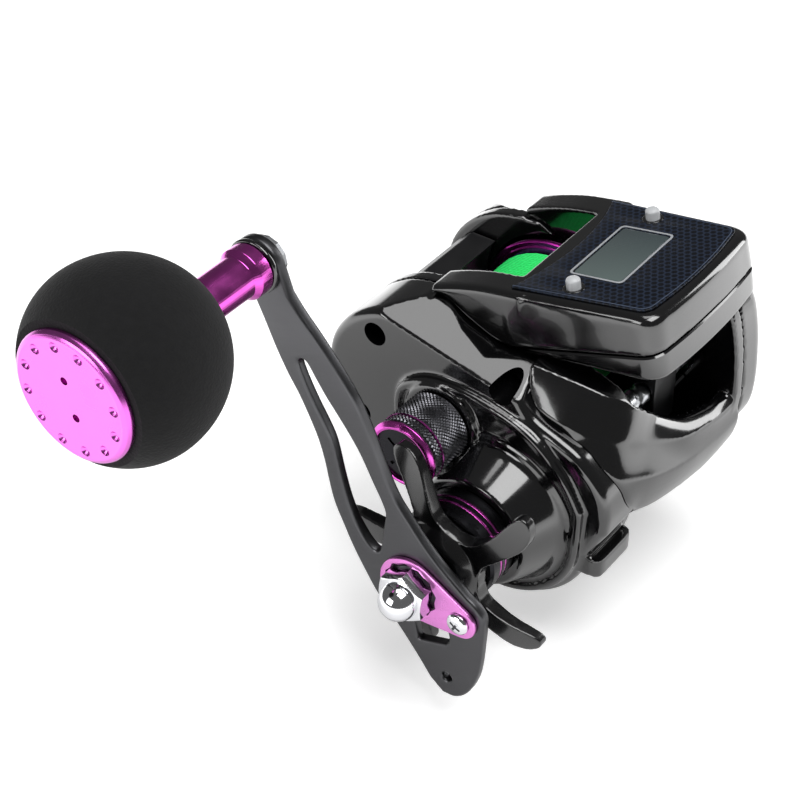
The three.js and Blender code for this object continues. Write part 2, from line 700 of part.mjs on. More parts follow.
function frameOpenings() {
  const through = [-wallOuter - OVERRUN, wallOuter + OVERRUN];
  const gearSide = [wallInner - OVERRUN, wallOuter + OVERRUN];
  const palmSide = [-wallOuter - OVERRUN, -wallInner + OVERRUN];
  const palmBore = disc(SPOOL_RADIUS + GAP * 2, palmSide[0], palmSide[1], [0, 0], FINE_ROUND);
  const palmBevel = turned([
    [0, -wallInner - WINDOW_LEAD], [SPOOL_RADIUS, -wallInner - WINDOW_LEAD],
    [WINDOW_RADIUS, palmSide[1]], [0, palmSide[1]],
  ], [0, 0], FINE_ROUND);
  const bearingBores = [[0, 0], drive].map((place) => (
    disc(BEARING_OUTER + GAP, gearSide[0], gearSide[1], place, SMALL_ROUND)));
  const wormBore = disc(WORM_RADIUS + GAP, through[0], through[1], worm, SMALL_ROUND);
  const gearSpace = disc(windWormRadius + WIND_MODULE + GAP, wallOuter, wormRoomEnd, worm);
  const rodBore = disc(GUIDE_ROD_RADIUS + GAP, through[0], wallInner + ROD_SEAT, rodPlace, SMALL_ROUND);
  const screwBores = coverScrews.map(([, place]) => (
    disc(SCREW_RADIUS + GAP, gearSide[0], gearSide[1], place, SMALL_ROUND)));
  const lugWindow = box(
    [lugRear, lugRear + THUMB_LUG * 2],
    [THUMB_TOP - THUMB_HEIGHT - THUMB_TRAVEL - GAP, THUMB_TOP - THUMB_HEIGHT + THUMB_LUG + GAP],
    gearSide,
  );
  const footBores = [1, -1].map((side) => footScrewTool(side, SCREW_RADIUS + GAP, floorTop + OVERRUN));
  return [palmBore, palmBevel, ...bearingBores, wormBore, gearSpace, rodBore, ...screwBores, lugWindow,
    ...footBores];
}

function footScrewTool(side, radius, top) {
  return pillar(radius, footTop - OVERRUN, top, side * FOOT_SCREW_SPACING / 2, 0);
}

// The bowl in front of the level wind, with its sloping lip
function nose() {
  const half = wallOuter;
  const outer = [];
  const inner = [];
  const steps = 8;
  for (let i = 0; i <= steps; i += 1) {
    const side = -half + 2 * half * i / steps;
    const sweep = 0.09 * (side / half) ** 2;
    outer.push([frontReach * (1 - sweep), side]);
    inner.push([frontReach * (1 - sweep) - NOSE_WALL, side]);
  }
  const band = slab([...outer, ...inner.reverse()], floorBottom, bodyRise);
  const lip = LIP_SHARES.map(([z, y]) => [z * wallInner, y * bodyRise]);
  const feet = [-1, 1].map((end) => [end * (half + OVERRUN), floorBottom - OVERRUN]);
  const sides = frontal([...lip, ...feet], 0, frontReach + OVERRUN);
  const chin = upright([
    [frontReach * 0.8, floorBottom - OVERRUN],
    [frontReach + OVERRUN, floorBottom * 0.5],
    [frontReach + OVERRUN, floorBottom - OVERRUN],
  ], -half - OVERRUN, half + OVERRUN);
  return cut(band.intersect(sides), chin);
}

// The frame's smooth cheek ahead of the gear case cover
function cheek() {
  const block = upright(cheekOutline(), wallOuter - OVERRUN, wallOuter + CHEEK_DEPTH);
  const brow = [0, bodyRise * 0.76, wallOuter + CHEEK_DEPTH * 0.64];
  return cut(block, halfSpace(brow, [0, CHEEK_DEPTH * 0.36, bodyRise * 0.5]));
}

// Gear case cover: a shell with a ridge, a conical boss and deep screw wells
function gearCover() {
  const outline = caseOutline();
  const shell = bevelled(outline, coverInner, caseFace, CASE_BEVEL);
  const ridge = ridgeOutline();
  const plateau = bevelled(ridge, caseFace - OVERRUN, ridgeFace, RIDGE_BEVEL);
  const tray = upright(inset(ridge, RIDGE_WALL), ridgeFace - RIDGE_DEPTH, ridgeFace + OVERRUN);
  const boss = turned([
    [0, caseFace - OVERRUN], [BOSS_RADIUS, caseFace - OVERRUN], [BOSS_RADIUS, caseFace + RIDGE_HEIGHT / 2],
    [BOSS_TOP_RADIUS + OVERRUN, bossFace - OVERRUN], [BOSS_TOP_RADIUS, bossFace], [0, bossFace],
  ], drive, FINE_ROUND);
  const studRadius = CAP_RADIUS - CAP_WALL - GAP;
  const studEnd = capStart + CAP_LENGTH / 2;
  const capBoss = turned([
    [0, caseFace - OVERRUN], [CAP_RADIUS + OVERRUN, caseFace - OVERRUN],
    [CAP_RADIUS + OVERRUN, capStart - GAP], [studRadius, capStart - GAP],
    [studRadius, studEnd], [0, studEnd],
  ]);
  const capRoom = disc(CAP_RADIUS + GAP * 2, capStart - GAP, bossFace + OVERRUN);
  const innerFace = caseFace - SHELL_WALL;
  const clutchRoom = disc(CLUTCH_RADIUS + GAP, innerFace - OVERRUN, bossFace - SHELL_WALL, drive);
  const shaftHole = disc(CLUTCH_SLEEVE_RADIUS + GAP, caseFace, bossFace + OVERRUN, drive);
  const pinionRoom = disc(PINION_COLLAR_RADIUS + GAP, innerFace - OVERRUN, studEnd + OVERRUN);
  const wormRoom = disc(windWormRadius + WIND_MODULE + GAP, coverInner - OVERRUN, wormRoomEnd, worm);
  const brow = [0, bodyRise * CREASE_SHARE, caseFace];
  const slope = halfSpace(brow, [CREASE_LEAN, 1, CREASE_SLOPE]);
  const innerBrow = [brow[0], brow[1] - SHELL_WALL * 1.2, brow[2]];
  const hollow = cut(
    upright(inset(outline, SHELL_WALL), coverInner - OVERRUN, innerFace),
    halfSpace(innerBrow, [CREASE_LEAN, 1, CREASE_SLOPE]),
  );
  const pad = roundedPad();
  let body = cut(join(shell, pad), slope);
  body = cut(body, hollow);
  for (const [, place] of coverScrews) {
    const post = disc(DEEP_HOLE_RADIUS + SHELL_WALL, coverInner, caseFace + OVERRUN, place, SMALL_ROUND);
    body = body.add(post.intersect(cut(shell, slope)));
  }
  body = join(body, cut(plateau, tray), cut(boss, capRoom), capBoss);
  for (const [, place] of coverScrews) {
    body = cut(body,
      disc(DEEP_HOLE_RADIUS, coverInner + SCREW_SEAT, caseFace + OVERRUN * 4, place, SMALL_ROUND),
      disc(SCREW_RADIUS + GAP, coverInner - OVERRUN, caseFace, place, SMALL_ROUND));
  }
  return cut(body, clutchRoom, shaftHole, pinionRoom, wormRoom);
}

function ridgeOutline() {
  return [
    ...arc(drive, caseRadius - RIDGE_INSET, Math.PI * 1.2, Math.PI * 2 - 0.1, ARC_STEPS),
    ...RIDGE_UPPER_SHARES.map(bodyPoint),
  ];
}

// The small rounded pad under the front of the gear case
function roundedPad() {
  const near = coverInner;
  const far = caseFace;
  const front = frontReach * PAD_REACH_SHARE;
  const back = front - PAD_DEPTH * 3;
  const plan = rounded([[back, near], [front, near], [front, far], [back, far]], PAD_DEPTH);
  const block = slab(plan, -bodyDrop - PAD_HEIGHT, -bodyDrop);
  const holes = [0.35, 0.55].map((share) => (
    pillar(PAD_HOLE_RADIUS, -bodyDrop - PAD_HEIGHT / 2, -bodyDrop + OVERRUN, front - PAD_DEPTH * 0.7,
      near + (far - near) * share, TINY_ROUND)));
  return cut(block, ...holes);
}

function coverScrew(place) {
  return turned([
    [0, wallInner + GAP], [SCREW_RADIUS, wallInner + GAP], [SCREW_RADIUS, coverInner + SCREW_SEAT + GAP],
    [SCREW_HEAD_RADIUS, coverInner + SCREW_SEAT + GAP],
    [SCREW_HEAD_RADIUS, coverInner + SCREW_SEAT + GAP + SCREW_HEAD_HEIGHT],
    [0, coverInner + SCREW_SEAT + GAP + SCREW_HEAD_HEIGHT],
  ], place, SMALL_ROUND);
}

// Palm side
const palmBossRadius = BEARING_OUTER + GAP + SHELL_WALL;
const palmBearingFrom = -palmFace + SHELL_WALL + GAP * 2 + OVERRUN;

function palmCover() {
  const outline = palmOutline();
  const shell = bevelled(outline, -coverInner, -palmFace, PALM_BEVEL);
  const hollow = upright(inset(outline, SHELL_WALL), -palmFace + SHELL_WALL, -coverInner + OVERRUN);
  const boss = disc(palmBossRadius, -palmFace + SHELL_WALL - GAP, -wallInner - OVERRUN);
  const bore = disc(BEARING_OUTER + GAP, -palmFace + SHELL_WALL + OVERRUN, -wallInner, [0, 0], SMALL_ROUND);
  const stemHole = disc(DIAL_STEM_RADIUS + GAP, -palmFace - OVERRUN, -palmFace + SHELL_WALL + OVERRUN * 2);
  return cut(join(cut(shell, hollow), boss), bore, stemHole);
}

function brakeDial() {
  const face = disc(DIAL_RADIUS, -palmFace - GAP - DIAL_THICKNESS, -palmFace - GAP);
  const stem = disc(DIAL_STEM_RADIUS, -palmFace - GAP * 2, -palmFace + SHELL_WALL, [0, 0], SMALL_ROUND);
  const last = FULL_TURN * (1 - 1 / DIAL_NOTCHES);
  const outside = -palmFace - GAP - DIAL_THICKNESS - OVERRUN;
  const notches = arc([0, 0], DIAL_RADIUS, 0, last, DIAL_NOTCHES - 1).map((place) => (
    disc(DIAL_NOTCH_RADIUS, outside, -palmFace, place, TINY_ROUND)));
  return cut(join(face, stem), ...notches);
}

function brakePlate() {
  return ring(palmBossRadius + GAP, DRAG_RADIUS, -coverInner, -coverInner + BRAKE_PLATE_THICKNESS);
}

// Spool, line and shaft
function spoolBody() {
  const half = spoolHalf;
  const bore = SHAFT_RADIUS + GAP;
  const hub = bore + HUB_WALL;
  const inner = ARBOR_RADIUS - ARBOR_WALL;
  const side = [
    [bore, half - HUB_INSET], [hub, half - HUB_INSET], [hub, SPOOL_WEB / 2], [inner, SPOOL_WEB / 2],
    [inner, half], [SPOOL_RADIUS - FLANGE_STEP, half], [SPOOL_RADIUS, half - FLANGE_STEP],
    [SPOOL_RADIUS, half - FLANGE_THICKNESS], [ARBOR_RADIUS, half - FLANGE_THICKNESS],
  ];
  const other = side.map(([r, z]) => [r, -z]).reverse();
  return turned([...side, ...other], [0, 0], FINE_ROUND);
}

function lineCore() {
  const half = spoolHalf - FLANGE_THICKNESS - GAP;
  return ring(ARBOR_RADIUS + GAP, LINE_CORE_RADIUS, -half, half, [0, 0], FINE_ROUND);
}

// The line's top layer: one unbroken tube, whose two ends run straight for one diameter
function windingPath() {
  const half = spoolHalf - FLANGE_THICKNESS - GAP - LINE_DIAMETER / 2;
  const radius = LINE_CORE_RADIUS + LINE_LIFT + LINE_DIAMETER / 2;
  const count = WINDING_LOOPS * WINDING_STEPS;
  const points = [];
  for (let i = 0; i <= count; i += 1) {
    const angle = FULL_TURN * i / WINDING_STEPS;
    const [x, y] = polar([0, 0], radius, angle);
    points.push(new THREE.Vector3(x, y, -half + 2 * half * i / count));
  }
  const first = points[0].clone().sub(points[1]).setLength(LINE_DIAMETER).add(points[0]);
  const last = points[count].clone().sub(points[count - 1]).setLength(LINE_DIAMETER).add(points[count]);
  return [first, ...points, last];
}

function windingGap(path) {
  let least = Infinity;
  path.forEach((point, i) => {
    for (let k = i + Math.round(WINDING_STEPS / 2); k < path.length; k += 1) {
      least = Math.min(least, point.distanceTo(path[k]));
    }
  });
  return least - LINE_DIAMETER;
}

function tubeAlong(path, radius, sides) {
  const positions = [];
  const index = [];
  const axis = new THREE.Vector3(0, 0, 1);
  path.forEach((point, i) => {
    const ahead = path[Math.min(i + 1, path.length - 1)];
    const behind = path[Math.max(i - 1, 0)];
    const tangent = ahead.clone().sub(behind).normalize();
    const across = tangent.clone().cross(axis).normalize();
    const along = across.clone().cross(tangent);
    for (let k = 0; k < sides; k += 1) {
      const angle = FULL_TURN * k / sides;
      const place = point.clone()
        .addScaledVector(across, radius * Math.cos(angle))
        .addScaledVector(along, radius * Math.sin(angle));
      positions.push(...place.toArray());
    }
    if (i === 0) return;
    for (let k = 0; k < sides; k += 1) {
      const a = (i - 1) * sides + k;
      const b = (i - 1) * sides + (k + 1) % sides;
      index.push(a, b, b + sides, a, b + sides, a + sides);
    }
  });
  const end = (path.length - 1) * sides;
  for (let k = 1; k < sides - 1; k += 1) {
    index.push(0, k + 1, k);
    index.push(end, end + k, end + k + 1);
  }
  const geometry = new THREE.BufferGeometry();
  geometry.setAttribute('position', new THREE.Float32BufferAttribute(positions, 3));
  geometry.setIndex(index);
  return solid(geometry);
}

function spoolShaft() {
  const from = palmBearingFrom - GAP;
  const to = capStart + CAP_LENGTH - CAP_WALL - GAP;
  const key = box(
    [-SHAFT_KEY_LENGTH / 2, SHAFT_KEY_LENGTH / 2],
    [-SHAFT_KEY_WIDTH / 2, SHAFT_KEY_WIDTH / 2],
    [coverInner, coverInner + SHAFT_KEY_THICKNESS],
  );
  return join(disc(SHAFT_RADIUS, from, to, [0, 0], SMALL_ROUND), key);
}

function bearing(bore, from, centre) {
  return ring(bore + GAP, BEARING_OUTER, from, from + bearingWidth, centre, SMALL_ROUND);
}

// Pinion, yoke and thumb bar
const pinionStart = coverInner + GAP;
const pinionTeethStart = pinionStart + PINION_COLLAR_WIDTH;
const grooveStart = pinionTeethStart + PINION_TOOTH_WIDTH;
const pinionEnd = grooveStart + PINION_GROOVE_WIDTH + PINION_COLLAR_WIDTH;
const yokeStart = grooveStart + (PINION_GROOVE_WIDTH - YOKE_THICKNESS) / 2;
const yokeSpan = [yokeStart - OVERRUN, yokeStart + YOKE_THICKNESS + OVERRUN];
const grooveRadius = SHAFT_RADIUS + GAP + PINION_SLEEVE_WALL;

function pinion() {
  const collar = disc(PINION_COLLAR_RADIUS, pinionStart, pinionTeethStart + GAP);
  const outline = toothed([0, 0], PINION_TEETH, GEAR_MODULE,
    followTurn(mainTurn, MAIN_TEETH, mainTurn, PINION_TEETH));
  const teeth = upright(outline, pinionTeethStart, grooveStart);
  const neck = disc(grooveRadius, grooveStart - GAP, pinionEnd, [0, 0], SMALL_ROUND);
  const end = disc(PINION_END_RADIUS, pinionEnd - PINION_COLLAR_WIDTH, pinionEnd);
  const bore = disc(SHAFT_RADIUS + GAP, pinionStart - OVERRUN, pinionEnd + OVERRUN, [0, 0], SMALL_ROUND);
  const slot = box(
    [-SHAFT_KEY_LENGTH / 2 - GAP, SHAFT_KEY_LENGTH / 2 + GAP],
    [-SHAFT_KEY_WIDTH / 2 - GAP, SHAFT_KEY_WIDTH / 2 + GAP],
    [pinionStart - OVERRUN, coverInner + SHAFT_KEY_THICKNESS + GAP],
  );
  return cut(join(collar, teeth, neck, end), bore, slot);
}

function clutchYoke() {
  const half = YOKE_POST_SPACING / 2 + YOKE_POST_RADIUS + SHELL_WALL;
  const back = -YOKE_WIDTH / 4;
  const corners = [[-half, back], [half, back], [half, YOKE_WIDTH], [-half, YOKE_WIDTH]];
  const turnedCorners = rounded(corners, YOKE_WIDTH / 3).map(([x, y]) => [
    x * Math.cos(yokeAngle) - y * Math.sin(yokeAngle),
    x * Math.sin(yokeAngle) + y * Math.cos(yokeAngle),
  ]);
  const plate = upright(turnedCorners, yokeStart, yokeStart + YOKE_THICKNESS);
  const saddle = disc(grooveRadius + GAP, ...yokeSpan);
  const edges = [0, Math.PI].map((turn) => polar([0, 0], grooveRadius + GAP, yokeAngle + turn));
  const mouth = upright([
    edges[0],
    polar(edges[0], YOKE_WIDTH, DRIVE_ANGLE),
    polar(edges[1], YOKE_WIDTH, DRIVE_ANGLE),
    edges[1],
  ], ...yokeSpan);
  const posts = yokePosts.map((place) => disc(YOKE_POST_RADIUS + GAP, ...yokeSpan, place, SMALL_ROUND));
  return cut(plate, saddle, mouth, ...posts);
}

function thumbBar() {
  const bottom = THUMB_TOP - THUMB_HEIGHT;
  const back = -SPOOL_RADIUS - THUMB_DEPTH + GAP * 2;
  const front = -SPOOL_RADIUS * THUMB_FRONT_SHARE;
  const profile = [
    [back, bottom], [front, bottom], [front, THUMB_TOP], [back + THUMB_DEPTH * 0.45, THUMB_TOP],
    [back + THUMB_DEPTH * 0.16, THUMB_TOP - THUMB_HEIGHT * 0.25], [back, THUMB_TOP - THUMB_HEIGHT * 0.55],
  ];
  const block = upright(profile, -wallInner + GAP, wallInner - GAP);
  const reach = spoolHalf + OVERRUN * 2;
  const sweep = [0, THUMB_TRAVEL].map((lift) => (
    disc(SPOOL_RADIUS + GAP * 2, -reach, reach, [0, lift], FINE_ROUND)));
  const lug = box(
    [lugRear + GAP, lugRear + THUMB_LUG * 2 - GAP],
    [bottom, bottom + THUMB_LUG],
    [wallInner - OVERRUN, wallOuter + OVERRUN],
  );
  return join(cut(block, ...sweep), lug);
}

// Main gear, drag stack and drive shaft
const windGearStart = coverInner + GAP;
const driveFlangeStart = windGearStart + WIND_GEAR_WIDTH + GAP;
const mainGearStart = driveFlangeStart + WASHER_THICKNESS + GAP;
const washerStart = mainGearStart + MAIN_GEAR_WIDTH + GAP;
const pressureStart = washerStart + WASHER_THICKNESS + GAP;
const sleeveStart = pressureStart + WASHER_THICKNESS * 1.4 + GAP;
const clutchEnd = bossFace - SHELL_WALL - GAP;

function mainGear() {
  const wheel = gear(drive, MAIN_TEETH, GEAR_MODULE, mainTurn, DRIVE_THREAD_RADIUS + GAP, mainGearStart,
    mainGearStart + MAIN_GEAR_WIDTH);
  const recess = ring(DRIVE_FLANGE_RADIUS, DRAG_RADIUS + GAP, mainGearStart + MAIN_GEAR_WIDTH * 0.7,
    mainGearStart + MAIN_GEAR_WIDTH + OVERRUN, drive);
  return cut(wheel, recess);
}

function driveShaft() {
  const end = nutStart + NUT_HEIGHT - GAP * 4;
  const flangeEnd = driveFlangeStart + WASHER_THICKNESS;
  return turned([
    [0, wallInner - GAP], [DRIVE_SHAFT_RADIUS, wallInner - GAP], [DRIVE_SHAFT_RADIUS, driveFlangeStart],
    [DRIVE_FLANGE_RADIUS, driveFlangeStart], [DRIVE_FLANGE_RADIUS, flangeEnd],
    [DRIVE_THREAD_RADIUS, flangeEnd], [DRIVE_THREAD_RADIUS, end], [0, end],
  ], drive);
}

function clutchSleeve() {
  return ring(DRIVE_THREAD_RADIUS + GAP, CLUTCH_SLEEVE_RADIUS, sleeveStart, bossFace, drive);
}

function oneWayClutch() {
  return ring(CLUTCH_SLEEVE_RADIUS + GAP, CLUTCH_RADIUS, caseFace + OVERRUN, clutchEnd, drive);
}

// Level wind
function wormShaft() {
  return disc(WORM_RADIUS, -wallOuter + GAP, windGearStart + WIND_GEAR_WIDTH + GAP, worm, SMALL_ROUND);
}

function guideRod() {
  return disc(GUIDE_ROD_RADIUS, -wallOuter + GAP, wallInner + ROD_SEAT - GAP, rodPlace, SMALL_ROUND);
}

function lineGuide() {
  const [x, y] = worm;
  const half = GUIDE_DEPTH / 2;
  const profile = [
    [x - half, y - GUIDE_ROD_DROP - GUIDE_WALL - GAP], [x + half, y - GUIDE_ROD_DROP - GUIDE_WALL - GAP],
    [x + half, y + WORM_RADIUS], [x + half, y + GUIDE_EYE_RISE + GUIDE_EYE_RADIUS + GUIDE_WALL],
    [x + half * 0.2, y + GUIDE_EYE_RISE + GUIDE_EYE_RADIUS + GUIDE_WALL],
    [x - half, y + WORM_RADIUS + GUIDE_WALL],
  ];
  const block = upright(profile, -GUIDE_WIDTH / 2, GUIDE_WIDTH / 2);
  const through = [-GUIDE_WIDTH / 2 - OVERRUN, GUIDE_WIDTH / 2 + OVERRUN];
  return cut(
    block,
    disc(WORM_RADIUS + GAP, through[0], through[1], worm, SMALL_ROUND),
    disc(GUIDE_ROD_RADIUS + GAP, through[0], through[1], rodPlace, SMALL_ROUND),
    eyeTool(GUIDE_EYE_RADIUS + GUIDE_RING_WALL + GAP, x - half - OVERRUN, x + half + OVERRUN),
  );
}

function eyeTool(radius, from, to) {
  const geometry = new THREE.CylinderGeometry(radius, radius, to - from, ROUND);
  geometry.rotateZ(Math.PI / 2);
  geometry.translate((from + to) / 2, worm[1] + GUIDE_EYE_RISE, 0);
  return solid(geometry);
}

function guideInsert() {
  const from = worm[0] - GUIDE_DEPTH * 0.1;
  const to = worm[0] + GUIDE_DEPTH / 2 + GAP;
  return cut(
    eyeTool(GUIDE_EYE_RADIUS + GUIDE_RING_WALL, from, to),
    eyeTool(GUIDE_EYE_RADIUS, from - OVERRUN, to + OVERRUN),
  );
}

// Cast control cap with a fine grip, and its coloured end ring
function castCap() {
  const neck = CAP_RADIUS - CAP_WALL / 2;
  const shoulder = capEnd - CAP_RING_WIDTH - GAP;
  const body = turned([
    [CAP_RADIUS - CAP_WALL, capStart], [CAP_RADIUS, capStart], [CAP_RADIUS, shoulder], [neck, shoulder],
    [neck, capEnd], [0, capEnd], [0, capEnd - CAP_WALL], [CAP_RADIUS - CAP_WALL, capEnd - CAP_WALL],
  ], [0, 0], FINE_ROUND);
  const groove = ring(CAP_RADIUS - CAP_GROOVE_DEPTH, CAP_RADIUS + OVERRUN, capStart + CAP_LENGTH * 0.62,
    capStart + CAP_LENGTH * 0.67, [0, 0], FINE_ROUND);
  return cut(body, groove);
}

function castCapRing() {
  const inner = CAP_RADIUS - CAP_WALL / 2 + GAP;
  return turned([
    [inner, capEnd - CAP_RING_WIDTH], [CAP_RADIUS + GAP, capEnd - CAP_RING_WIDTH],
    [CAP_RADIUS + GAP, capEnd - CAP_RING_WIDTH / 2], [inner + GAP, capEnd],
    [inner, capEnd],
  ], [0, 0], FINE_ROUND);
}

// Drag collar and star
function dragCollar() {
  const floor = COLLAR_RADIUS - COLLAR_GROOVE_DEPTH;
  const end = collarStart + COLLAR_LENGTH;
  const grooves = [0.25, 0.5].flatMap((share) => {
    const from = collarStart + COLLAR_LENGTH * share;
    const to = from + COLLAR_GROOVE_WIDTH;
    return [[COLLAR_RADIUS, from], [floor, from], [floor, to], [COLLAR_RADIUS, to]];
  });
  return turned([
    [DRIVE_THREAD_RADIUS + GAP, collarStart], [COLLAR_RADIUS, collarStart], ...grooves,
    [COLLAR_RADIUS, collarStart + COLLAR_LENGTH * 0.85], [COLLAR_RADIUS * 0.9, end],
    [DRIVE_THREAD_RADIUS + GAP, end],
  ], drive);
}

function starDrag() {
  const hub = turned([
    [0, starStart], [STAR_HUB_RADIUS, starStart], [STAR_HUB_RADIUS, starStart + STAR_HUB_LENGTH * 0.55],
    [STAR_HUB_RADIUS * 0.75, starEnd], [0, starEnd],
  ], drive);
  const arms = [];
  for (let i = 0; i < STAR_ARMS; i += 1) {
    const angle = STAR_FIRST_ANGLE + FULL_TURN * i / STAR_ARMS;
    arms.push(starArm(angle));
  }
  const bore = disc(DRIVE_THREAD_RADIUS + GAP, starStart - OVERRUN, starEnd + OVERRUN, drive);
  return cut(join(hub, ...arms), bore);
}

// One curved arm: narrow at the hub, wide and rounded at the tip, its tip bent toward the body
function starArm(angle) {
  const half = STAR_ARM_WIDTH / 2;
  const sweep = 0.16;
  const outline = [];
  const stations = [[0.2, 0.95], [0.45, 0.72], [0.65, 0.8], [0.82, 0.92], [0.94, 0.7], [1, 0.25]];
  for (const side of [1, -1]) {
    const list = side > 0 ? stations : stations.slice().reverse();
    for (const [reach, width] of list) {
      const centre = polar(drive, STAR_REACH * reach, angle + sweep * reach * reach);
      outline.push(polar(centre, half * width * side, angle + Math.PI / 2));
    }
  }
  const geometry = surface(upright(outline, starStart, starStart + STAR_ARM_THICKNESS));
  const places = geometry.attributes.position;
  for (let i = 0; i < places.count; i += 1) {
    const share = Math.hypot(places.getX(i) - drive[0], places.getY(i) - drive[1]) / STAR_REACH;
    places.setZ(i, places.getZ(i) - STAR_BEND * share ** 3);
  }
  return solid(geometry);
}

// Handle, drawn round the drive axis with y along the arm
function handleOutline() {
  const top = arc([0, HANDLE_LENGTH], ARM_END_RADIUS, Math.PI * 1.1, Math.PI * -0.1, ARC_STEPS);
  return [...top, ...HANDLE_RIGHT_SHARES.map(armPoint), ...HANDLE_LEFT_SHARES.map(armPoint)];
}

function armPoint([along, side]) {
  return [side * ARM_HALF_WIDTH, along * HANDLE_LENGTH];
}

// The arm steps outward between the drive shaft and the knob
function armRise(along) {
  const share = Math.min(Math.max((along - ARM_RISE_START) / ARM_RISE_LENGTH, 0), 1);
  return ARM_RISE * share * share * (3 - 2 * share);
}

function handleArm() {
  const through = [armBack - OVERRUN, armFace + OVERRUN];
  const flat = cut(
    bevelled(handleOutline(), armBack, armFace, ARM_BEVEL),
    upright(HANDLE_SLOT_SHARES.map(armPoint), through[0], through[1]),
    upright(HANDLE_WINDOW_SHARES.map(armPoint), through[0], through[1]),
    disc(DRIVE_THREAD_RADIUS + GAP, through[0], through[1], [0, 0], SMALL_ROUND),
    disc(POST_RADIUS + GAP, through[0], through[1], [0, HANDLE_LENGTH], SMALL_ROUND),
    disc(SCREW_RADIUS + GAP, through[0], through[1], plateScrewPlace, SMALL_ROUND),
    disc(ARM_HOLE_RADIUS, through[0], through[1], [-ARM_HOLE_SIDE, -ARM_HOLE_DROP], SMALL_ROUND),
  );
  const geometry = surface(flat);
  const places = geometry.attributes.position;
  for (let i = 0; i < places.count; i += 1) {
    places.setZ(i, places.getZ(i) + armRise(places.getY(i)));
  }
  return solid(geometry);
}

const plateScrewPlace = [PLATE_SCREW_SIDE, -PLATE_SCREW_DROP];
const nutRadius = NUT_FLATS / Math.sqrt(3);

function retainerPlate() {
  const direction = Math.atan2(plateScrewPlace[1], plateScrewPlace[0]);
  const distance = Math.hypot(...plateScrewPlace);
  const spread = Math.acos((PLATE_RADIUS - PLATE_TIP_RADIUS) / distance);
  const outline = [
    ...arc([0, 0], PLATE_RADIUS, direction + spread, direction + FULL_TURN - spread, ARC_STEPS * 2),
    ...arc(plateScrewPlace, PLATE_TIP_RADIUS, direction - spread, direction + spread, ARC_STEPS),
  ];
  const through = [nutStart - OVERRUN, plateFace + OVERRUN];
  const hole = disc(nutRadius + GAP, ...through, [0, 0], SMALL_ROUND);
  const screwHole = disc(SCREW_RADIUS + GAP, ...through, plateScrewPlace, SMALL_ROUND);
  return cut(upright(outline, nutStart, plateFace), hole, screwHole);
}

function retainerScrew() {
  const head = PLATE_TIP_RADIUS * 0.65;
  const seat = plateFace + GAP;
  return turned([
    [0, armBack + GAP], [SCREW_RADIUS, armBack + GAP], [SCREW_RADIUS, seat], [head, seat],
    [head, seat + SCREW_HEAD_HEIGHT * 0.5], [SCREW_RADIUS, seat + SCREW_HEAD_HEIGHT],
    [0, seat + SCREW_HEAD_HEIGHT],
  ], plateScrewPlace, SMALL_ROUND);
}

// Cap nut: a hexagon under a long dome
function handleNut() {
  const hexEnd = nutStart + NUT_HEIGHT;
  const hex = disc(nutRadius, nutStart, hexEnd, [0, 0], 6);
  const domeRadius = NUT_FLATS / 2 * 0.86;
  const domePoint = ([reach, rise]) => [domeRadius * reach, hexEnd + NUT_DOME * rise];
  const dome = turned([
    [0, hexEnd - GAP], [domeRadius, hexEnd - GAP], ...DOME_SHARES.map(domePoint), [0, hexEnd + NUT_DOME],
  ]);
  const bore = disc(DRIVE_THREAD_RADIUS + GAP, nutStart - OVERRUN, hexEnd - GAP * 3);
  return cut(join(hex, dome), bore);
}

// Knob on its post at the end of the arm
const knobCentre = [0, HANDLE_LENGTH];
const neckStart = knobFace + GAP * 2 + BOSS_RING_LENGTH;
const neckStep = neckStart + NECK_COLLAR_LENGTH;
const postEnd = knobEnd - GAP * 4;
const postHead = knobFace - ARM_THICKNESS - GAP;

function knobPost() {
  return turned([
    [0, postHead - POST_RADIUS / 2], [POST_RADIUS * 2, postHead - POST_RADIUS / 2],
    [POST_RADIUS * 2, postHead], [POST_RADIUS, postHead], [POST_RADIUS, postEnd], [0, postEnd],
  ], knobCentre, SMALL_ROUND);
}

function knobNeck() {
  return turned([
    [NECK_BORE_RADIUS, neckStart], [NECK_COLLAR_RADIUS, neckStart],
    [NECK_COLLAR_RADIUS, neckStep - GAP * 3], [NECK_RADIUS, neckStep],
    [NECK_RADIUS, knobEnd - GAP], [NECK_BORE_RADIUS, knobEnd - GAP],
  ], knobCentre);
}

function knobRadiusAt(station) {
  const reach = station < knobWidest ? KNOB_FRONT_LENGTH : KNOB_BACK_LENGTH;
  return KNOB_RADIUS * Math.sqrt(1 - ((station - knobWidest) / reach) ** 2);
}

function knobGrip() {
  const profile = [[NECK_RADIUS + GAP, knobStart]];
  for (let i = 0; i <= KNOB_STEPS; i += 1) {
    const share = (1 - Math.cos(Math.PI * i / KNOB_STEPS)) / 2;
    const station = knobStart + (knobEnd - GAP - knobStart) * share;
    profile.push([knobRadiusAt(station), station]);
  }
  profile.push([NECK_RADIUS + GAP, knobEnd - GAP]);
  return turned(profile, knobCentre, FINE_ROUND);
}

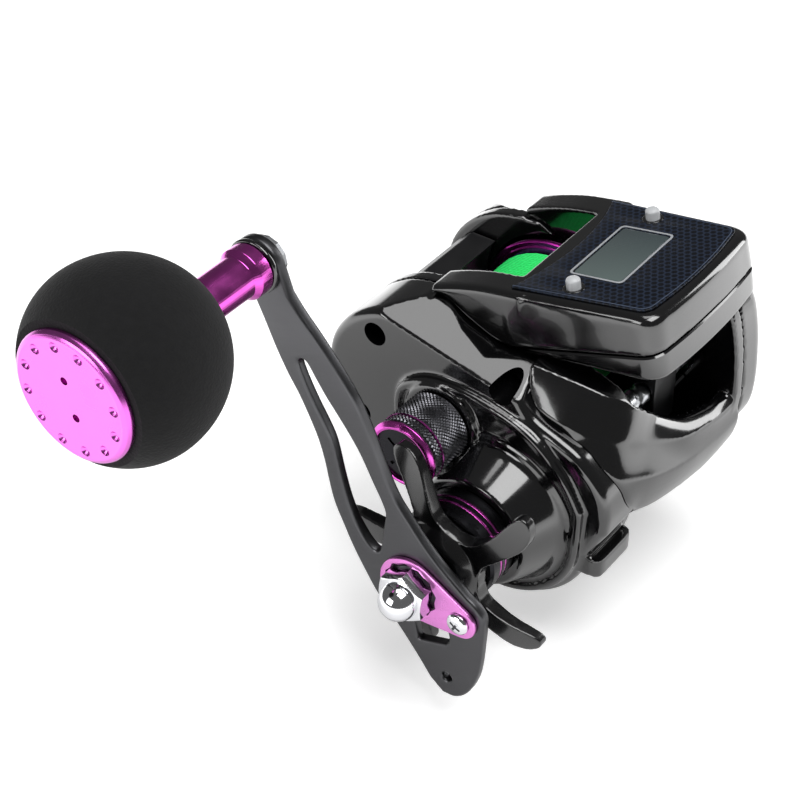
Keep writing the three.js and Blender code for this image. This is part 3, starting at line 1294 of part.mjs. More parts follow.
function knobCap() {
  const disk = turned([
    [0, knobEnd], [KNOB_CAP_RADIUS, knobEnd], [KNOB_CAP_RADIUS, knobEnd + KNOB_CAP_THICKNESS * 0.6],
    [KNOB_CAP_RADIUS * 0.95, knobEnd + KNOB_CAP_THICKNESS], [0, knobEnd + KNOB_CAP_THICKNESS],
  ], knobCentre, FINE_ROUND);
  const from = knobEnd + KNOB_CAP_THICKNESS * 0.5;
  const to = knobEnd + KNOB_CAP_THICKNESS + OVERRUN;
  const tools = [];
  for (let i = 0; i < DIMPLE_COUNT; i += 1) {
    const angle = FULL_TURN * (i + 0.5) / DIMPLE_COUNT;
    tools.push(disc(DIMPLE_RADIUS, from, to, polar(knobCentre, DIMPLE_CIRCLE, angle), TINY_ROUND));
  }
  for (const side of [1, -1]) {
    const place = polar(knobCentre, side * PIN_HOLE_SPACING / 2, PIN_HOLE_ANGLE);
    tools.push(disc(DIMPLE_RADIUS * 0.85, from, to, place, TINY_ROUND));
  }
  return cut(disk, ...tools);
}

// Counter unit, in its own tilted frame
function counterPlan(margin) {
  const half = COUNTER_HALF_WIDTH - margin;
  const front = COUNTER_FRONT - margin;
  const frontHalf = half - COUNTER_TAPER;
  const corners = [[-COUNTER_REAR, half], [front - COUNTER_BOW, frontHalf]];
  const near = toward(corners[1], corners[0], COUNTER_CORNER);
  const points = [[-COUNTER_REAR - ARM_OVERLAP, half], corners[0], near];
  for (let i = 1; i < 2 * FILLET_STEPS; i += 1) {
    const side = 1 - i / FILLET_STEPS;
    const reach = front - COUNTER_BOW * side * side;
    points.push([
      reach - COUNTER_CORNER * Math.abs(side) ** 9 * 0.3,
      side * (frontHalf - COUNTER_CORNER * 0.25),
    ]);
  }
  points.push([near[0], -near[1]], [corners[0][0], -corners[0][1]], [-COUNTER_REAR - ARM_OVERLAP, -half]);
  return points;
}

function counterRearEdge(margin) {
  const half = ARM_PAD_INNER;
  const points = [];
  for (let i = 0; i <= 8; i += 1) {
    const side = -1 + i / 4;
    points.push([-COUNTER_REAR + margin + COUNTER_REAR_HOLLOW * (1 - side * side), side * half]);
  }
  return points;
}

function partingHeight(x) {
  const share = (x + COUNTER_REAR) / (COUNTER_REAR + COUNTER_FRONT);
  return -COUNTER_DEPTH * (PARTING_REAR_SHARE + (PARTING_FRONT_SHARE - PARTING_REAR_SHARE) * share);
}

function sideBand(rear, topRear, topFront, bottomRear, bottomFront) {
  const front = COUNTER_FRONT + OVERRUN;
  const span = COUNTER_FRONT + COUNTER_REAR;
  const at = (x, a, b) => a + (b - a) * (x + COUNTER_REAR) / span;
  return upright([
    [rear, at(rear, bottomRear, bottomFront)], [front, at(front, bottomRear, bottomFront)],
    [front, at(front, topRear, topFront)], [rear, at(rear, topRear, topFront)],
  ], -COUNTER_HALF_WIDTH * 1.5, COUNTER_HALF_WIDTH * 1.5);
}

const partingRear = -COUNTER_DEPTH * PARTING_REAR_SHARE;
const partingFront = -COUNTER_DEPTH * PARTING_FRONT_SHARE;

function counterBlock(margin, top) {
  const plan = [...counterPlan(margin), ...counterRearEdge(margin)];
  return slab(plan, -COUNTER_DEPTH - OVERRUN, top);
}

function upperShell() {
  const above = sideBand(-ARM_PAD_REACH, OVERRUN, OVERRUN, partingRear + GAP, partingFront + GAP);
  const flat = counterBlock(COUNTER_BEVEL, 0);
  const full = counterBlock(0, -COUNTER_BEVEL);
  const arms = [1, -1].map((side) => {
    const outline = [
      ...ARM_TOP_SHARES.map(([x, y]) => [-x * ARM_PAD_REACH, y * COUNTER_DEPTH]),
      ...ARM_UNDER_SHARES.map(([x, y]) => [-x * ARM_PAD_REACH, y * COUNTER_DEPTH]),
      [-ARM_UNDER_SHARES[ARM_UNDER_SHARES.length - 1][0] * ARM_PAD_REACH, 0],
    ];
    return bevelled(outline, side * ARM_PAD_INNER, side * COUNTER_HALF_WIDTH, COUNTER_BEVEL);
  });
  const inside = slab(
    counterPlan(COUNTER_WALL + COUNTER_BEVEL).filter(([x]) => x >= -COUNTER_REAR).map(([x, z]) => [
      Math.max(x, -COUNTER_REAR + COUNTER_REAR_HOLLOW + COUNTER_WALL * 1.5), z]),
    -COUNTER_DEPTH - OVERRUN,
    -COUNTER_WALL,
  );
  const round = disc(WINDOW_RADIUS, -wallInner - GAP * 4, wallInner + GAP * 4, [0, 0], FINE_ROUND);
  const movedRound = intoCounter(round);
  const window = box(
    [-LCD_LENGTH / 2 - GAP, LCD_LENGTH / 2 + GAP], [-COUNTER_WALL - OVERRUN, OVERRUN],
    [-LCD_WIDTH / 2 - GAP, LCD_WIDTH / 2 + GAP]);
  const buttonHoles = [1, -1].map((side) => (
    pillar(BUTTON_RADIUS + GAP, -COUNTER_WALL - OVERRUN, OVERRUN, -BUTTON_BACK, side * BUTTON_SIDE)));
  const posts = counterScrewPlaces.map(([x, z]) => (
    pillar(SCREW_RADIUS + GAP + SHELL_WALL, partingHeight(x) + GAP * 2, -COUNTER_WALL + GAP, x, z)));
  const bores = counterScrewPlaces.map(([x, z]) => (
    pillar(SCREW_RADIUS + GAP, -COUNTER_DEPTH, -COUNTER_WALL - GAP * 2, x, z)));
  const whole = join(join(flat, full).intersect(above), ...arms);
  const hollow = join(cut(whole, inside), ...posts);
  return cut(hollow, movedRound, window, ...buttonHoles, ...bores);
}

const counterScrewPlaces = [1, -1].map((side) => [COUNTER_FRONT * 0.62, side * COUNTER_HALF_WIDTH * 0.7]);

// A body drawn round the spool axis, seen from the counter's tilted frame
function intoCounter(body) {
  const geometry = surface(body);
  geometry.translate(-counterPlace[0], -counterPlace[1], 0);
  geometry.rotateZ(-COUNTER_TILT);
  return solid(geometry);
}

function lowerShell() {
  const bottomRear = -COUNTER_DEPTH * BOTTOM_REAR_SHARE;
  const below = sideBand(-COUNTER_REAR, partingRear, partingFront, bottomRear, -COUNTER_DEPTH);
  const block = counterBlock(0, 0).intersect(below);
  const shortened = cut(block, halfSpace([-COUNTER_REAR + COUNTER_REAR_HOLLOW, 0, 0], [-1, 0, 0]));
  const inside = slab(
    counterPlan(COUNTER_WALL).filter(([x]) => x >= -COUNTER_REAR).map(([x, z]) => [
      Math.max(x, -COUNTER_REAR + COUNTER_REAR_HOLLOW + COUNTER_WALL), z]),
    -COUNTER_DEPTH - OVERRUN,
    OVERRUN,
  ).intersect(sideBand(-COUNTER_REAR, OVERRUN, OVERRUN, bottomRear + COUNTER_WALL,
    -COUNTER_DEPTH + COUNTER_WALL));
  const capHole = pillar(BATTERY_CAP_RADIUS + GAP, -COUNTER_DEPTH - OVERRUN, 0, BATTERY_FORWARD, 0, ROUND);
  const under = -COUNTER_DEPTH - OVERRUN;
  const rims = counterScrewPlaces.map(([x, z]) => {
    const rim = pillar(SCREW_HEAD_RADIUS + GAP + SHELL_WALL, under, partingHeight(x) - GAP, x, z);
    return rim.intersect(below);
  });
  const bores = counterScrewPlaces.flatMap(([x, z]) => [
    pillar(SCREW_RADIUS + GAP, under, 0, x, z),
    pillar(SCREW_HEAD_RADIUS + GAP, under, screwSeat, x, z),
  ]);
  return cut(join(cut(shortened, inside), ...rims), capHole, ...bores);
}

const screwSeat = -COUNTER_DEPTH + SCREW_HEAD_HEIGHT + GAP * 2;

function counterScrew([x, z]) {
  return join(
    pillar(SCREW_HEAD_RADIUS, screwSeat - GAP - SCREW_HEAD_HEIGHT, screwSeat - GAP, x, z),
    pillar(SCREW_RADIUS, screwSeat - GAP * 2, -COUNTER_WALL - GAP * 4, x, z),
  );
}

function counterLabel() {
  const margin = COUNTER_BEVEL + LABEL_MARGIN;
  const plan = [
    ...counterPlan(margin).filter(([x]) => x >= -COUNTER_REAR),
    ...counterRearEdge(LABEL_MARGIN * 0.6),
  ];
  const film = slab(plan, GAP, GAP + LABEL_THICKNESS);
  const window = box([-LCD_LENGTH / 2 - GAP, LCD_LENGTH / 2 + GAP], [0, OVERRUN * 2],
    [-LCD_WIDTH / 2 - GAP, LCD_WIDTH / 2 + GAP]);
  const buttonHoles = [1, -1].map((side) => (
    pillar(BUTTON_RADIUS + GAP, 0, OVERRUN * 2, -BUTTON_BACK, side * BUTTON_SIDE)));
  return cut(film, window, ...buttonHoles);
}

function button(side) {
  const top = GAP + LABEL_THICKNESS + BUTTON_RISE;
  const flangeTop = -COUNTER_WALL - GAP;
  const profile = [
    [0, flangeTop - BUTTON_FLANGE], [BUTTON_RADIUS + BUTTON_FLANGE, flangeTop - BUTTON_FLANGE],
    [BUTTON_RADIUS + BUTTON_FLANGE, flangeTop], [BUTTON_RADIUS, flangeTop],
    [BUTTON_RADIUS, top - BUTTON_RADIUS * 0.5], [BUTTON_RADIUS * 0.8, top - BUTTON_RADIUS * 0.15],
    [BUTTON_RADIUS * 0.4, top], [0, top],
  ];
  const geometry = new THREE.LatheGeometry(profile.map(([r, y]) => new THREE.Vector2(r, y)), ROUND);
  geometry.translate(-BUTTON_BACK, 0, side * BUTTON_SIDE);
  return solid(geometry);
}

function flatBlock(length, width, from, to, forward = 0) {
  return box([forward - length / 2, forward + length / 2], [from, to], [-width / 2, width / 2]);
}

// The board, notched round the two screw posts
function circuitBoard() {
  const bottom = -BOARD_DROP - BOARD_THICKNESS;
  const board = flatBlock(BOARD_LENGTH, BOARD_WIDTH, bottom, -BOARD_DROP, BOARD_FORWARD);
  const notches = counterScrewPlaces.map(([x, z]) => (
    pillar(SCREW_RADIUS + GAP * 2 + SHELL_WALL, -COUNTER_DEPTH, 0, x, z)));
  return cut(board, ...notches);
}

// The foot that clamps to the rod
function reelFoot() {
  const half = FOOT_LENGTH / 2;
  const side = upright([
    [-half, footBottom], [half, footBottom], [half, footBottom + FOOT_END_THICKNESS],
    [half * 0.42, footTop], [-half * 0.42, footTop], [-half, footBottom + FOOT_END_THICKNESS],
  ], -FOOT_WIDTH / 2, FOOT_WIDTH / 2);
  const corner = FOOT_WIDTH * 0.36;
  const plan = slab(rounded([
    [-half, -FOOT_WIDTH / 2], [half, -FOOT_WIDTH / 2], [half, FOOT_WIDTH / 2], [-half, FOOT_WIDTH / 2],
  ], corner), footBottom - OVERRUN, footTop + OVERRUN);
  const bores = [1, -1].flatMap((end) => [
    pillar(SCREW_RADIUS + GAP, footBottom - OVERRUN, footTop + OVERRUN, end * FOOT_SCREW_SPACING / 2, 0),
    pillar(SCREW_HEAD_RADIUS + GAP, footBottom - OVERRUN, footBottom + SCREW_HEAD_HEIGHT + GAP * 2,
      end * FOOT_SCREW_SPACING / 2, 0),
  ]);
  return cut(side.intersect(plan), ...bores);
}

function footScrew(end) {
  const seat = footBottom + SCREW_HEAD_HEIGHT + GAP;
  return join(
    pillar(SCREW_HEAD_RADIUS, footBottom + GAP, seat, end * FOOT_SCREW_SPACING / 2, 0),
    pillar(SCREW_RADIUS, seat - GAP, floorTop - GAP, end * FOOT_SCREW_SPACING / 2, 0),
  );
}

// The coin cell's cap under the counter, with a slot for a coin
function batteryCap() {
  const bottom = -COUNTER_DEPTH * (BOTTOM_REAR_SHARE + 1) / 2;
  const top = bottom + BATTERY_CAP_THICKNESS;
  const body = pillar(BATTERY_CAP_RADIUS, bottom, top, BATTERY_FORWARD, 0, ROUND);
  const slot = box(
    [BATTERY_FORWARD - BATTERY_CAP_RADIUS * 0.6, BATTERY_FORWARD + BATTERY_CAP_RADIUS * 0.6],
    [bottom - OVERRUN, (bottom + top) / 2],
    [-BATTERY_CAP_THICKNESS / 2, BATTERY_CAP_THICKNESS / 2],
  );
  return cut(body, slot);
}

// Every piece, with its finish
const idlerTurn = followTurn(WIND_FIRST_ANGLE, WIND_DRIVE_TEETH, WIND_FIRST_ANGLE, WIND_IDLER_TEETH);
const wormTurn = followTurn(idlerTurn, WIND_IDLER_TEETH, WIND_SECOND_ANGLE, WIND_WORM_TEETH);
const windGearEnd = windGearStart + WIND_GEAR_WIDTH;

function windGear(centre, teeth, turn, bore) {
  return gear(centre, teeth, WIND_MODULE, turn, bore + GAP, windGearStart, windGearEnd);
}

addPiece(reel, 'main_frame', glossBlack, mainFrame());
addPiece(reel, 'reel_foot', satinBlack, reelFoot());
addPiece(reel, 'foot_screw_front', bareMetal, footScrew(1));
addPiece(reel, 'foot_screw_rear', bareMetal, footScrew(-1));
addPiece(reel, 'gear_cover', glossBlack, gearCover());
for (const [name, place] of coverScrews) {
  addPiece(reel, `cover_screw_${name}`, blackMetal, coverScrew(place));
}
addPiece(reel, 'palm_cover', glossBlack, palmCover());
addPiece(reel, 'brake_plate', bareMetal, brakePlate());
addPiece(reel, 'brake_dial', satinBlack, brakeDial());
addPiece(reel, 'palm_bearing', bareMetal, bearing(SHAFT_RADIUS, palmBearingFrom, [0, 0]));
addPiece(reel, 'frame_bearing', bareMetal, bearing(SHAFT_RADIUS, wallInner + GAP, [0, 0]));
addPiece(reel, 'drive_bearing', bareMetal, bearing(DRIVE_SHAFT_RADIUS, wallInner + GAP, drive));
addPiece(reel, 'spool', pinkMetal, spoolBody());
addPiece(reel, 'line_core', lineGreen, lineCore());
const winding = windingPath();
console.log('least gap of the winding to itself, mm:', windingGap(winding).toFixed(3));
addPiece(reel, 'line_top_layer', lineGreen, tubeAlong(winding, LINE_DIAMETER / 2, WINDING_SIDES));
addPiece(reel, 'spool_shaft', bareMetal, spoolShaft());
addPiece(reel, 'pinion', brass, pinion());
addPiece(reel, 'clutch_yoke', satinBlack, clutchYoke());
addPiece(reel, 'thumb_bar', satinBlack, thumbBar());
addPiece(reel, 'main_gear', brass, mainGear());
addPiece(reel, 'drag_washer', dragFibre, ring(DRIVE_THREAD_RADIUS + GAP, DRAG_RADIUS, washerStart,
  washerStart + WASHER_THICKNESS, drive));
addPiece(reel, 'pressure_plate', bareMetal, ring(DRIVE_THREAD_RADIUS + GAP, DRAG_RADIUS, pressureStart,
  pressureStart + WASHER_THICKNESS * 1.4, drive));
addPiece(reel, 'clutch_sleeve', bareMetal, clutchSleeve());
addPiece(reel, 'one_way_clutch', bareMetal, oneWayClutch());
addPiece(reel, 'drive_shaft', bareMetal, driveShaft());
addPiece(reel, 'wind_drive_gear', brass,
  windGear(drive, WIND_DRIVE_TEETH, WIND_FIRST_ANGLE, DRIVE_SHAFT_RADIUS));
addPiece(reel, 'idler_gear', satinBlack, windGear(idler, WIND_IDLER_TEETH, idlerTurn, STUB_RADIUS));
addPiece(reel, 'worm_gear', satinBlack, windGear(worm, WIND_WORM_TEETH, wormTurn, WORM_RADIUS));
addPiece(reel, 'worm_shaft', chrome, wormShaft());
addPiece(reel, 'guide_rod', chrome, guideRod());
addPiece(reel, 'line_guide', satinBlack, lineGuide());
addPiece(reel, 'guide_ring', brass, guideInsert());
addPiece(reel, 'cast_cap', blackMetal, castCap());
addPiece(reel, 'cast_cap_ring', pinkMetal, castCapRing());
addPiece(reel, 'drag_collar', blackMetal, dragCollar());
addPiece(reel, 'star_drag', satinBlack, starDrag());
addPiece(reel, 'arm_spacer', blackMetal,
  ring(DRIVE_THREAD_RADIUS + GAP, STAR_HUB_RADIUS * 0.7, starEnd + GAP, armBack - GAP, drive));

addPiece(handle, 'handle_arm', blackMetal, handleArm());
addPiece(handle, 'retainer_plate', pinkMetal, retainerPlate());
addPiece(handle, 'retainer_screw', chrome, retainerScrew());
addPiece(handle, 'handle_nut', chrome, handleNut());
addPiece(handle, 'knob_boss', blackMetal, ring(POST_RADIUS + GAP, BOSS_RING_RADIUS, knobFace + GAP,
  knobFace + GAP + BOSS_RING_LENGTH, knobCentre));
addPiece(handle, 'knob_post', bareMetal, knobPost());
addPiece(handle, 'knob_neck', pinkMetal, knobNeck());
addPiece(handle, 'knob_grip', foam, knobGrip());
addPiece(handle, 'knob_cap', pinkMetal, knobCap());

const cellTop = -BOARD_DROP - BOARD_THICKNESS - GAP;
const lensBottom = -LCD_THICKNESS + LABEL_THICKNESS + GAP;
addPiece(counter, 'counter_upper_shell', glossBlack, upperShell());
addPiece(counter, 'counter_lower_shell', glossBlack, lowerShell());
addPiece(counter, 'counter_label', labelFilm, counterLabel());
addPiece(counter, 'lcd_window', glass, flatBlock(LCD_LENGTH, LCD_WIDTH, lensBottom, LABEL_THICKNESS + GAP));
addPiece(counter, 'lcd_module', satinBlack, flatBlock(LCD_LENGTH + MODULE_MARGIN, LCD_WIDTH + MODULE_MARGIN,
  -COUNTER_WALL - GAP - MODULE_THICKNESS, -COUNTER_WALL - GAP));
addPiece(counter, 'circuit_board', boardGreen, circuitBoard());
addPiece(counter, 'coin_cell', bareMetal, pillar(CELL_RADIUS, cellTop - CELL_THICKNESS, cellTop,
  BATTERY_FORWARD, 0, ROUND));
addPiece(counter, 'battery_cap', satinBlack, batteryCap());
addPiece(counter, 'power_button', buttonResin, button(1));
addPiece(counter, 'reset_button', buttonResin, button(-1));
addPiece(counter, 'counter_screw_near', blackMetal, counterScrew(counterScrewPlaces[0]));
addPiece(counter, 'counter_screw_far', blackMetal, counterScrew(counterScrewPlaces[1]));

// Each group in the one that carries it, and the whole turned into the part's frame
handle.position.set(drive[0], drive[1], 0);
handle.rotation.z = HANDLE_ANGLE;
counter.position.set(counterPlace[0], counterPlace[1], 0);
counter.rotation.z = COUNTER_TILT;
reel.add(handle, counter);
reel.applyMatrix4(new THREE.Matrix4().makeBasis(
  new THREE.Vector3(0, -1, 0),
  new THREE.Vector3(0, 0, 1),
  new THREE.Vector3(-1, 0, 0),
));
reel.position.set(0, 0, -footBottom);

const lineCounterReel = new THREE.Group();
lineCounterReel.add(reel);
export default lineCounterReel;
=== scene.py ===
"""A fishing reel with a line counter: the finish of every piece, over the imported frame.

Pieces are drawn in millimetres in the reel's own side view: x forward, y up from the spool's
axis and z along that axis toward the handle. The counter and the handle have turned frames.
"""

import json
import math
from contextlib import contextmanager

import bmesh
import bpy
from mathutils import Matrix, Vector

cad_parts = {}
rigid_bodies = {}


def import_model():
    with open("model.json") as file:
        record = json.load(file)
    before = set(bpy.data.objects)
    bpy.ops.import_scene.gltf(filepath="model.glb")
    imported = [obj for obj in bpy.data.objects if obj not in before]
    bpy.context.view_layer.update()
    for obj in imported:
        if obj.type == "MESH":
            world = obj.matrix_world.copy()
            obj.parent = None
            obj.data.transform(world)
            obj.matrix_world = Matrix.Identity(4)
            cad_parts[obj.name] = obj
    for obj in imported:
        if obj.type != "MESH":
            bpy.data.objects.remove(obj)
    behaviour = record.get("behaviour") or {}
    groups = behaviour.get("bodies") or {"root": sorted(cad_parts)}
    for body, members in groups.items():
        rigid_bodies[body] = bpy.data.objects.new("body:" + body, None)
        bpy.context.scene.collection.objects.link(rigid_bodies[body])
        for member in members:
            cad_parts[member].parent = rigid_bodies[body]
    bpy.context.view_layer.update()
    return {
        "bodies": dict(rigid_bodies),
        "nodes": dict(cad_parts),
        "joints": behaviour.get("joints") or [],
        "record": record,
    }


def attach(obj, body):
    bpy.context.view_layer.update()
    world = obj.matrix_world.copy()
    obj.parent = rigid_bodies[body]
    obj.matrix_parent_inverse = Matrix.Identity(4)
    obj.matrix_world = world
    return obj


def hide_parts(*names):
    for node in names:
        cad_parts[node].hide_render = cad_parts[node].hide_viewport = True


MM = 0.001
TURN = 2 * math.pi

# Clearances and facets
GAP = 0.1
OVERRUN = 1
SAME_PLACE = 0.004
SLIVER = 0.003
CRUMB_AREA = 0.5
CLEAN_PASSES = 2
HALF_SPACE = 90
ROUND = 128
COARSE_ROUND = 48

# Axes in the side view, mm
SPOOL_HEIGHT = 25
DRIVE = (13.483, -17.257)
WORM = (30.261, 3.72)
IDLER = (20.877, -3.351)
HANDLE_TILT = math.radians(27.6)
HANDLE_LENGTH = 73.6
COUNTER_PLACE = (20.9, 31.4)
COUNTER_TILT = math.radians(11)


# Frames and mesh making

def shift(x, y, z=0):
    return Matrix.Translation((x, y, z))


REEL = Matrix(((0, 0, -1, 0), (-1, 0, 0, 0), (0, 1, 0, SPOOL_HEIGHT), (0, 0, 0, 1)))
HANDLE = REEL @ shift(*DRIVE) @ Matrix.Rotation(HANDLE_TILT, 4, "Z")
COUNTER = REEL @ shift(*COUNTER_PLACE) @ Matrix.Rotation(COUNTER_TILT, 4, "Z")

# Turned so that a plan outline, forward and sideways, is raised upward
PLAN = Matrix(((1, 0, 0, 0), (0, 0, 1, 0), (0, 1, 0, 0), (0, 0, 0, 1)))
REEL_PLAN = REEL @ PLAN
LABEL_PLAN = COUNTER @ PLAN


def put(name, data):
    """A new object in the scene."""
    thing = bpy.data.objects.new(name, data)
    bpy.context.scene.collection.objects.link(thing)
    return thing


@contextmanager
def editing(thing):
    """The thing's mesh opened for edits, and written back after them."""
    work = bmesh.new()
    work.from_mesh(thing.data)
    yield work
    work.to_mesh(thing.data)
    work.free()


def drop_loose(work):
    loose = [edge for edge in work.edges if not edge.link_faces]
    bmesh.ops.delete(work, geom=loose, context="EDGES")


def piece(name, points, faces, frame=REEL):
    """A mesh object at the origin, its place in its mesh."""
    mesh = bpy.data.meshes.new(name)
    mesh.from_pydata([tuple((frame @ Vector(p)) * MM) for p in points], [], faces)
    mesh.update()
    return tidy(put(name, mesh))


def tidy(thing):
    """Doubles merged and every face turned outward."""
    with editing(thing) as work:
        bmesh.ops.remove_doubles(work, verts=work.verts, dist=SAME_PLACE * MM)
        drop_loose(work)
        bmesh.ops.recalc_face_normals(work, faces=work.faces)
        if work.calc_volume(signed=True) < 0:
            bmesh.ops.reverse_faces(work, faces=work.faces)
    return thing


def clean(thing):
    """Cuts up many-sided faces and takes out the slivers and crumbs that booleans leave."""
    for _ in range(CLEAN_PASSES):
        thing.data.validate()
        with editing(thing) as work:
            idle = [vert for vert in work.verts if len(vert.link_edges) == 2]
            bmesh.ops.dissolve_verts(work, verts=idle)
            wide = [face for face in work.faces if len(face.verts) > 4]
            bmesh.ops.triangulate(work, faces=wide)
            bmesh.ops.dissolve_degenerate(work, dist=SLIVER * MM, edges=work.edges)
            bmesh.ops.remove_doubles(work, verts=work.verts, dist=SLIVER * 2 * MM)
            for island in islands(work):
                if sum(face.calc_area() for face in island) < CRUMB_AREA * MM * MM:
                    bmesh.ops.delete(work, geom=island, context="FACES")
            drop_loose(work)


def islands(work):
    """The groups of faces that hang together."""
    left = set(work.faces)
    groups = []
    while left:
        group, waiting = [], [left.pop()]
        while waiting:
            face = waiting.pop()
            group.append(face)
            near = {other for side in face.edges if len(side.link_faces) == 2
                    for other in side.link_faces if other in left}
            left -= near
            waiting.extend(near)
        groups.append(group)
    return groups


def polar(centre, radius, angle):
    return (centre[0] + radius * math.cos(angle), centre[1] + radius * math.sin(angle))


def arc(centre, radius, start, end, steps):
    return [polar(centre, radius, start + (end - start) * i / steps) for i in range(steps + 1)]


def circle(centre, radius, steps=32):
    return arc(centre, radius, 0, TURN * (1 - 1 / steps), steps - 1)


def quarter(steps):
    """Angles from nought to a quarter turn."""
    return [math.pi / 2 * i / steps for i in range(steps + 1)]


def soften(points, radius, steps=4, closed=True):
    """An outline with its corners rounded."""
    out = []
    count = len(points)
    for i, corner in enumerate(points):
        if not closed and i in (0, count - 1):
            out.append(tuple(corner))
            continue
        here = Vector(corner)
        before = Vector(points[i - 1]) - here
        after = Vector(points[(i + 1) % count]) - here
        reach = min(radius, before.length * 0.45, after.length * 0.45)
        start = here + before.normalized() * reach
        end = here + after.normalized() * reach
        for k in range(steps + 1):
            s = k / steps
            out.append(tuple(start * (1 - s) ** 2 + here * 2 * s * (1 - s) + end * s ** 2))
    return out


def between(p0, p1, p2, p3, s):
    return 0.5 * (2 * p1 + (p2 - p0) * s + (2 * p0 - 5 * p1 + 4 * p2 - p3) * s ** 2
                  + (3 * p1 - p0 - 3 * p2 + p3) * s ** 3)


def smooth_ring(points, steps=5):
    """A closed outline through given points, smooth between them."""
    ring = [Vector(p) for p in (points[-1], *points, *points[:2])]
    return [tuple(between(*ring[i:i + 4], k / steps))
            for i in range(len(points)) for k in range(steps)]


def smooth_run(points, steps=5):
    """An open line through given points, smooth between them."""
    ends = [Vector(points[0]) * 2 - Vector(points[1]), *map(Vector, points),
            Vector(points[-1]) * 2 - Vector(points[-2])]
    return [tuple(between(*ends[i:i + 4], k / steps))
            for i in range(len(points) - 1) for k in range(steps)] + [tuple(ends[-2])]


def inset(points, distance):
    """An outline drawn in along its normals; a negative distance lets it out."""
    ring = [Vector(p) for p in points]
    area = sum(a.x * b.y - b.x * a.y for a, b in zip(ring, ring[1:] + ring[:1]))
    turn = 1 if area > 0 else -1
    out = []
    for i, here in enumerate(ring):
        before = (here - ring[i - 1]).normalized()
        after = (ring[(i + 1) % len(ring)] - here).normalized()
        side = Vector((-after.y, after.x)) * turn
        normal = Vector((-(before.y + after.y), before.x + after.x)) * turn
        if normal.length < 0.01:
            normal = side.copy()
        normal.normalize()
        out.append(tuple(here + normal * distance / max(normal.dot(side), 0.5)))
    return out


def lathe(name, profile, centre=(0, 0), frame=REEL, steps=ROUND):
    """A closed profile of (radius, z) turned round an axis along z."""
    points = [(*polar(centre, max(radius, 0), TURN * i / steps), z)
              for i in range(steps) for radius, z in profile]
    count = len(profile)
    faces = []
    for i in range(steps):
        here, ahead = i * count, (i + 1) % steps * count
        for k in range(count):
            after = (k + 1) % count
            faces.append((here + k, here + after, ahead + after, ahead + k))
    return piece(name, points, faces, frame)


def band(inner, outer, start, end):
    """A plain ring's profile."""
    return [(inner, start), (outer, start), (outer, end), (inner, end)]


def disc(radius, start, end, centre=(0, 0), frame=REEL, steps=COARSE_ROUND):
    return lathe("tool", band(0, radius, start, end), centre, frame, steps)


def prism(name, outline, start, end, frame=REEL):
    """An outline in x and y, raised along z."""
    count = len(outline)
    points = [(x, y, z) for z in (start, end) for x, y in outline]
    faces = [tuple(reversed(range(count))), tuple(range(count, 2 * count))]
    faces += [(i, (i + 1) % count, count + (i + 1) % count, count + i) for i in range(count)]
    return piece(name, points, faces, frame)


def block(x, y, z, frame=REEL):
    return prism("block", [(x[0], y[0]), (x[1], y[0]), (x[1], y[1]), (x[0], y[1])], *z, frame)


def half_space(place, normal, frame=REEL):
    turn = Vector(normal).to_track_quat("Z", "Y").to_matrix().to_4x4()
    return block((-HALF_SPACE, HALF_SPACE), (-HALF_SPACE, HALF_SPACE), (0, HALF_SPACE),
                 frame @ shift(*place) @ turn)


def loft(name, rings, frame=REEL, closed=False):
    """Rings of as many points each, joined in turn; closed joins the last to the first."""
    count = len(rings[0])
    points = [p for ring in rings for p in ring]
    faces = []
    for i in range(len(rings) if closed else len(rings) - 1):
        here, ahead = i * count, (i + 1) % len(rings) * count
        for k in range(count):
            after = (k + 1) % count
            faces.append((here + k, here + after, ahead + after, ahead + k))
    if not closed:
        faces.append(tuple(reversed(range(count))))
        faces.append(tuple(range((len(rings) - 1) * count, len(rings) * count)))
    return piece(name, points, faces, frame)


def pillow(name, outline, near, far, radius, frame=REEL, steps=5):
    """A raised outline whose far edge is rounded."""
    way = math.copysign(1, far - near)
    rings = [[(x, y, near) for x, y in outline]]
    for a in quarter(steps):
        level = far - way * radius * (1 - math.sin(a))
        rings.append([(x, y, level) for x, y in inset(outline, radius * (1 - math.cos(a)))])
    return loft(name, rings, frame)


def plate(name, outline, holes, start, end, bevel, frame=REEL, segments=3):
    """A flat plate with rounded edges, cut through by its holes."""
    curve = bpy.data.curves.new(name, "CURVE")
    curve.dimensions = "2D"
    curve.fill_mode = "BOTH"
    for ring in [outline, *holes]:
        spline = curve.splines.new("POLY")
        spline.points.add(len(ring) - 1)
        for point, (x, y) in zip(spline.points, ring):
            point.co = (x, y, 0, 1)
        spline.use_cyclic_u = True
    curve.extrude = (end - start) / 2 - bevel
    curve.bevel_depth = bevel
    curve.bevel_resolution = segments
    curve.offset = -bevel
    thing = plain_mesh(put(name, curve))
    thing.data.transform(Matrix.Scale(MM, 4) @ frame @ shift(0, 0, (start + end) / 2))
    return tidy(thing)


def plain_mesh(source):
    """The finished shape of an object as a plain mesh; the source goes."""
    bpy.context.view_layer.update()
    graph = bpy.context.evaluated_depsgraph_get()
    mesh = bpy.data.meshes.new_from_object(
        source.evaluated_get(graph), preserve_all_data_layers=True, depsgraph=graph)
    name = source.name
    bpy.data.objects.remove(source)
    mesh.name = name
    return put(name, mesh)


def merge(name, *things):
    """Several objects as one mesh, each with its own shape kept."""
    work = bmesh.new()
    for thing in things:
        work.from_mesh(thing.data)
        bpy.data.objects.remove(thing)
    mesh = bpy.data.meshes.new(name)
    work.to_mesh(mesh)
    work.free()
    return put(name, mesh)


def boolean(body, tool, operation):
    change = body.modifiers.new("change", "BOOLEAN")
    change.operation = operation
    change.solver = "MANIFOLD"
    change.object = tool
    body = plain_mesh(body)
    bpy.data.objects.remove(tool)
    return body


